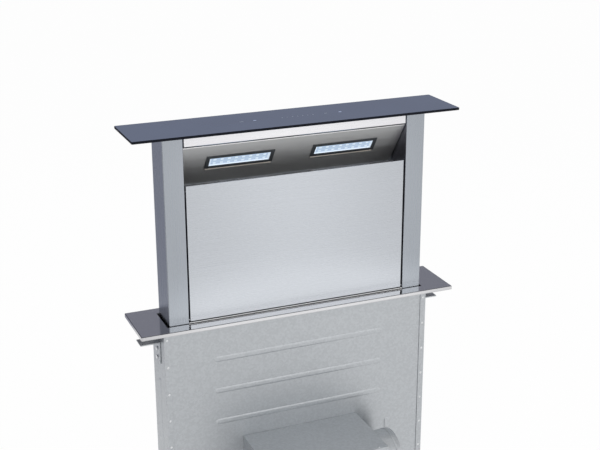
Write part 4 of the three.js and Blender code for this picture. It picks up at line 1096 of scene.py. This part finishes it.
# %% Fasteners of the blower and its outlet
COVER_SCREW, COLLAR_SCREW = (0.0030, 0.0018), (0.0036, 0.0020)  # radius and height of a head
COVER_LIP = 0.004  # from the cover's face to the middle of its folded lip
ROW_IN = 0.022  # of a row's end screws, from the housing's ends
TOP_REACH = 0.14  # of the top row, either way
FLANGE_SHEET = 0.002
CORNER_IN = 0.009
PIPE_RADIUS = 0.0745
BEAD_IN = 0.016  # of the bead, from the pipe's end
BEAD_PROFILE = (  # over the pipe and along it
    (-0.0006, 0), (0.0008, 0.0012), (0.0013, 0.0028), (0.0008, 0.0044), (-0.0006, 0.0056),
)
housing_low, housing_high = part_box("blower_housing")
lip_y = housing_low[1] + COVER_LIP
rows = spread(housing_low[2] + ROW_IN, housing_high[2] - ROW_IN, 4)
for side, x, axis in (("left", housing_low[0], -ACROSS), ("right", housing_high[0], ACROSS)):
    sheet_screws(side + "_cover_screws", [(x, lip_y, z) for z in rows], axis, COVER_SCREW)
top_places = [(x, lip_y, housing_high[2]) for x in spread(-TOP_REACH, TOP_REACH, 4)]
sheet_screws("top_cover_screws", top_places, UP, COVER_SCREW)
collar_low, collar_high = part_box("outlet_collar")
sheet_screws(
    "collar_screws",
    [(collar_low[0] + FLANGE_SHEET, y, z)
     for y in (collar_low[1] + CORNER_IN, collar_high[1] - CORNER_IN)
     for z in (collar_low[2] + CORNER_IN, collar_high[2] - CORNER_IN)],
    ACROSS, COLLAR_SCREW,
)
outlet_middle = box_middle("outlet_collar")
bead = bmesh.new()
turned(
    bead, (collar_high[0] - BEAD_IN, outlet_middle.y, outlet_middle.z), ACROSS,
    [(PIPE_RADIUS + rise, along) for rise, along in BEAD_PROFILE], sides=64,
)
for face in [face for face in bead.faces if len(face.verts) > 4]:
    bead.faces.remove(face)
new_piece("collar_bead", bead, [zinc], "chassis")
print("cover screws, collar screws and a bead for the duct clip")

# %% Fasteners of the chassis
RIVET_SIZE, BOLT_SIZE = (0.0034, 0.0012), (0.0058, 0.0038)
RIVET_IN = 0.008  # from the floor's end
ROW_ENDS = (0.02, 0.03)  # under the lowest rivet and over the highest
CLAMP_SHEET = 0.003
BOLT_RISES = (0.012, 0.036)
side_low, side_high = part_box("right_chassis_side")
heights = spread(side_low[2] + ROW_ENDS[0], side_high[2] - ROW_ENDS[1], 9)
rivet_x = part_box("chassis_floor")[1][0] - RIVET_IN
rivets = bolts = 0
for side, sign in SIDES.items():
    for row, y, axis in (("front", side_low[1], -BACK), ("back", side_high[1], BACK)):
        rivets += fasteners(
            side + "_" + row + "_rivets", [(sign * rivet_x, y, z) for z in heights], axis,
            RIVET_HEAD, *RIVET_SIZE, aluminium, "chassis", "aluminium",
        )
for side, sign in SIDES.items():
    clamp_low, clamp_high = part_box(side + "_worktop_clamp")
    bolt_x = (clamp_high[0] if sign < 0 else clamp_low[0]) + sign * CLAMP_SHEET
    bolt_y = (clamp_low[1] + clamp_high[1]) / 2
    bolts += fasteners(
        side + "_clamp_bolts", [(bolt_x, bolt_y, clamp_low[2] + rise) for rise in BOLT_RISES],
        (sign, 0, 0), BOLT_HEAD, *BOLT_SIZE, screw_steel, "chassis", "zinc_steel", sides=6,
    )
print(rivets, "rivets and", bolts, "clamp bolts")

# %% [markdown]
# ## Pressed beads
#
# Thin sheet drums when the fan runs, so a maker presses long beads into it. Each bead here is a
# stadium outline that shrinks as it rises, which gives a smooth hump with round ends. It stands
# 1.2 mm proud of the sheet.

# %% Beads in the chassis
BEAD_HALF_WIDTH = 0.008
BEAD_HEIGHT = 0.0012
BEAD_STEPS = ((1.0, -0.2), (0.86, 0.28), (0.62, 0.78), (0.36, 1.0))  # shares of width and height
CHASSIS_SHEET = 0.0015
FLANGE_REACH = 0.011  # of a side's top flange, past its sheet
CHASSIS_MIDDLE = 0.0722  # y


def add_bead(form, middle, along, out, half_length):
    middle, reach = Vector(middle), half_length - BEAD_HALF_WIDTH
    loft(form, [
        stadium(
            form, middle + out * BEAD_HEIGHT * rise, along, out.cross(along), reach,
            BEAD_HALF_WIDTH * share,
        ) for share, rise in BEAD_STEPS
    ])


sheet_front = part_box("chassis_front")[1][1] - CHASSIS_SHEET
sheet_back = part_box("chassis_back")[0][1] + CHASSIS_SHEET
sheet_side = side_high[0] - FLANGE_REACH
beads = {
    "front": [((0, sheet_front, z), ACROSS, -BACK, 0.24) for z in (-0.10, -0.19, -0.28)]
    + [((0.26, sheet_front, -0.49), UP, -BACK, 0.12)],
    "back": [((x, sheet_back, -0.33), UP, BACK, 0.25) for x in spread(-0.27, 0.27, 5)],
    "left": [((-sheet_side, CHASSIS_MIDDLE, -0.37), UP, -ACROSS, 0.22)],
    "right": [((sheet_side, CHASSIS_MIDDLE, -0.37), UP, ACROSS, 0.22)],
}
for place, lines in beads.items():
    form = bmesh.new()
    for line in lines:
        add_bead(form, *line)
    new_piece("chassis_" + place + "_beads", form, [zinc], "chassis")
print("beads", {place: len(lines) for place, lines in beads.items()})

# %% [markdown]
# ## Blower cover
#
# Nothing may stand proud of the blower's cover, because that is the front of the whole part. So
# its bead is pressed inwards: the face is inset, its corners are rounded, and a band of it goes
# down and comes up again.


# %% Cover
def front_face(form, least_corners=3):
    """The largest face that looks forward, of those with so many corners or more."""
    form.normal_update()
    return max(
        (f for f in form.faces if f.normal.y < -FACING and len(f.verts) >= least_corners),
        key=lambda face: face.calc_area(),
    )


def step_in(form, face, width, depth=0.0):
    bmesh.ops.inset_region(
        form, faces=[face], thickness=width, depth=depth, use_even_offset=True,
    )


def press_band(form, margin, corner, slope, width, depth, segments=6):
    face = front_face(form)
    step_in(form, face, margin)
    bmesh.ops.bevel(
        form, geom=list(face.verts), offset=corner, offset_type="OFFSET", segments=segments,
        profile=0.5, affect="VERTICES", clamp_overlap=True,
    )
    face = front_face(form, least_corners=4 * segments)
    step_in(form, face, slope, -depth)
    step_in(form, face, width)
    step_in(form, face, slope, depth)


cover_form = whole_faces("blower_cover")
press_band(cover_form, margin=0.034, corner=0.022, slope=0.0022, width=0.0075, depth=0.0012)
dress("blower_cover", SMALL_ROUND, cover_form)
print("cover with a pressed band")

# %% [markdown]
# ## Control box lid
#
# The lid has slots that let the warm air out. A grid of cells makes them: the cells that are
# slots lie deeper, and walls join them to the rest. A slot's floor is painted black as the
# shade inside the box.

# %% Lid
LID_SCREW = (0.0030, 0.0016)
SLOT_DEPTH = 0.002
SLOT_PITCH, SLOT_HALF = 0.006, 0.0011
SLOT_ENDS = (-0.034, -0.003, 0.003, 0.034)  # of two columns of slots, from the lid's middle
lid_low, lid_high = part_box("control_box_lid")
lid_middle = box_middle("control_box_lid")
lid_front, lid_back, slot_floor = lid_low[1], lid_high[1], lid_low[1] + SLOT_DEPTH
slot_bands = [lid_middle.z + SLOT_PITCH * step for step in range(-3, 4)]
slot_edges = [z + half for z in slot_bands for half in (-SLOT_HALF, SLOT_HALF)]
x_cuts = [lid_low[0], *(lid_middle.x + end for end in SLOT_ENDS), lid_high[0]]
z_cuts = [lid_low[2], *slot_edges, lid_high[2]]
last_i, last_j = len(x_cuts) - 1, len(z_cuts) - 1
lid_form = bmesh.new()
corner_at = {}


def lid_face(corners, index=0):
    """A face through corners of (column, row, y). Each corner is made once."""
    for i, j, y in corners:
        if (i, j, y) not in corner_at:
            corner_at[i, j, y] = lid_form.verts.new((x_cuts[i], y, z_cuts[j]))
    add_face(lid_form, [corner_at[corner] for corner in corners], index)


for i in range(last_i):
    for j in range(last_j):
        ring = ((i, j), (i + 1, j), (i + 1, j + 1), (i, j + 1))
        # a slot's floor is black: painted shade of the box's dark inside
        is_slot = i in (1, 3) and j % 2 == 1
        y = slot_floor if is_slot else lid_front
        lid_face([(*corner, y) for corner in ring], 1 if is_slot else 0)
        lid_face([(*corner, lid_back) for corner in reversed(ring)])
        if is_slot:
            for a, b in zip(ring, ring[1:] + ring[:1]):
                lid_face([(*a, lid_front), (*b, lid_front), (*b, slot_floor), (*a, slot_floor)])
rims = [((i, j), (i + 1, j)) for i in range(last_i) for j in (0, last_j)]
rims += [((i, j), (i, j + 1)) for j in range(last_j) for i in (0, last_i)]
for a, b in rims:
    lid_face([(*a, lid_front), (*b, lid_front), (*b, lid_back), (*a, lid_back)])
face_outwards(lid_form)
dress("control_box_lid", 0.0003, lid_form, [grey_plastic, black_plastic])
sheet_screws(
    "lid_screws",
    [(x, lid_front, z) for x in (lid_low[0] + CORNER_IN, lid_high[0] - CORNER_IN)
     for z in (lid_low[2] + CORNER_IN, lid_high[2] - CORNER_IN)],
    -BACK, LID_SCREW, "gear_steel",
)
print("lid with", 2 * len(slot_bands), "slots")

# %% [markdown]
# ## Levelling feet
#
# A levelling foot is a threaded stem in a soft pad, with a nut that locks it. The thread is
# drawn as rings, one for each turn, because at this size nobody can tell rings from a spiral.
# The whole foot is turned: pad, stem and six-sided nut, one after the other.

# %% Feet
PAD_RADIUS, PAD_HEIGHT = 0.020, 0.008
STEM_RADIUS, THREAD_DEPTH, THREAD_PITCH = 0.005, 0.0006, 0.0015
THREAD_START = 0.002  # over the pad
NUT_RADIUS, NUT_HEIGHT = 0.009, 0.008
PAD_PROFILE = (
    (0.93, 0), (1.0, 0.10), (1.0, 0.42), (0.97, 0.48), (1.0, 0.54), (1.0, 0.86), (0.93, 1.0),
    (0.40, 1.0), (0.33, 1.22), (0.20, 1.22),
)
NUT_PROFILE = ((0.92, 0), (1.0, 0.1), (1.0, 0.9), (0.92, 1.0))


def levelling_foot(node):
    low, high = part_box(node)
    middle = ((low[0] + high[0]) / 2, (low[1] + high[1]) / 2, low[2])
    total = high[2] - low[2]
    form = bmesh.new()
    pad = [(r * PAD_RADIUS, h * PAD_HEIGHT) for r, h in PAD_PROFILE]
    turned(form, middle, UP, pad, sides=40, index=0)
    core = STEM_RADIUS - THREAD_DEPTH
    stem = [(core, PAD_HEIGHT)]
    height = PAD_HEIGHT + THREAD_START
    while height < total - NUT_HEIGHT:
        stem += [(core, height), (STEM_RADIUS, height + THREAD_PITCH / 2)]
        height += THREAD_PITCH
    stem.append((core, total - NUT_HEIGHT / 2))
    turned(form, middle, UP, stem, sides=20, index=1)
    nut = [(r * NUT_RADIUS, total - NUT_HEIGHT + h * NUT_HEIGHT) for r, h in NUT_PROFILE]
    turned(form, middle, UP, nut, sides=6, index=1)
    dress(node, 0.0, form, [black_plastic, screw_steel])


for node in FEET:
    levelling_foot(node)
print(len(FEET), "levelling feet")

# %% [markdown]
# ## Small things on the mast
#
# The back panel is screwed to the columns' frame with flat heads, low enough to slide past the
# wiper in the deck. Behind the front panel's top, a magnetic catch on each column holds it shut:
# a plastic block with two steel pole plates. A thin black strip on the skirt, at the slot in the
# deck, is painted shade of the slot's gap while the mast is up.

# %% Back screws, catches and the skirt's strip of painted shade
FLAT_HEAD = ((1.0, 0), (1.0, 0.4), (0.88, 1.0), (0.50, 1.0, 0.74), (0.44, 0.3, 0.74), (0, 0.3))
BACK_SCREW, SCREW_REACH = (0.0036, 0.0009), 0.285
TOP_ROW, LOWER_ROWS = 0.010, (0.24, 0.02)  # the first from the panel's top
CATCH_SIZE = Vector((0.0100, 0.0110, 0.0220))
CATCH_GAP = 0.0003  # behind the front panel
CATCH_DROP = 0.034  # of its foot, from the front panel's top
POLE_PROUD = 0.0008  # of the block
POLE_RISES, POLE_HALF, POLE_IN = (0.0052, 0.0168), 0.0022, 0.0018
SLOT_SHADE_TOP, SLOT_SHADE_FOOT = 0.0007, 0.0060  # of the strip of painted shade, above and below the deck's face
SLOT_SHADE_PROUD, SLOT_SHADE_IN = 0.00035, 0.001
back_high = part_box("mast_back_panel")[1]
screw_rows = [back_high[2] - TOP_ROW, *LOWER_ROWS]
fasteners(
    "back_panel_screws",
    [(x, back_high[1], z) for z in screw_rows for x in spread(-SCREW_REACH, SCREW_REACH, 4)],
    BACK, FLAT_HEAD, *BACK_SCREW, screw_steel, "mast", "stainless",
)
column_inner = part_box("right_column")[0][0]
catch_front = panel_high[1] + CATCH_GAP
catch_bottom = panel_high[2] - CATCH_DROP


def add_block(form, low, high, index=0):
    corners = [
        form.verts.new((x, y, z))
        for x in (low[0], high[0]) for y in (low[1], high[1]) for z in (low[2], high[2])
    ]
    rings = ((0, 1, 3, 2), (4, 6, 7, 5), (0, 4, 5, 1), (2, 3, 7, 6), (0, 2, 6, 4), (1, 5, 7, 3))
    for ring in rings:
        add_face(form, [corners[k] for k in ring], index)


for side, sign in SIDES.items():
    x_ends = sorted((sign * (column_inner + SUNK), sign * (column_inner - CATCH_SIZE.x)))
    low = Vector((x_ends[0], catch_front + POLE_PROUD, catch_bottom))
    high = Vector((x_ends[1], low.y + CATCH_SIZE.y, catch_bottom + CATCH_SIZE.z))
    form = bmesh.new()
    add_block(form, low, high)
    for rise in POLE_RISES:
        add_block(
            form, (low.x + POLE_IN, catch_front, low.z + rise - POLE_HALF),
            (high.x - POLE_IN, low.y + SUNK, low.z + rise + POLE_HALF), 1,
        )
    face_outwards(form)
    finishes = [black_plastic, gear_steel]
    new_piece(side + "_panel_catch", form, finishes, "mast", 0.0003)
skirt_low, skirt_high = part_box("front_skirt")
slot_shade = bmesh.new()
add_block(
    slot_shade, (skirt_low[0] + SLOT_SHADE_IN, skirt_low[1] - SLOT_SHADE_PROUD, deck_high[2] - SLOT_SHADE_FOOT),
    (skirt_high[0] - SLOT_SHADE_IN, skirt_low[1] + SUNK, deck_high[2] + SLOT_SHADE_TOP),
)
face_outwards(slot_shade)
# a black strip, painted as the shade of the slot in the deck
new_piece("skirt_slot_shade", slot_shade, [foam_rubber], "mast")
print("back screws at", [round(z, 3) for z in screw_rows], "two catches and the skirt's seal")
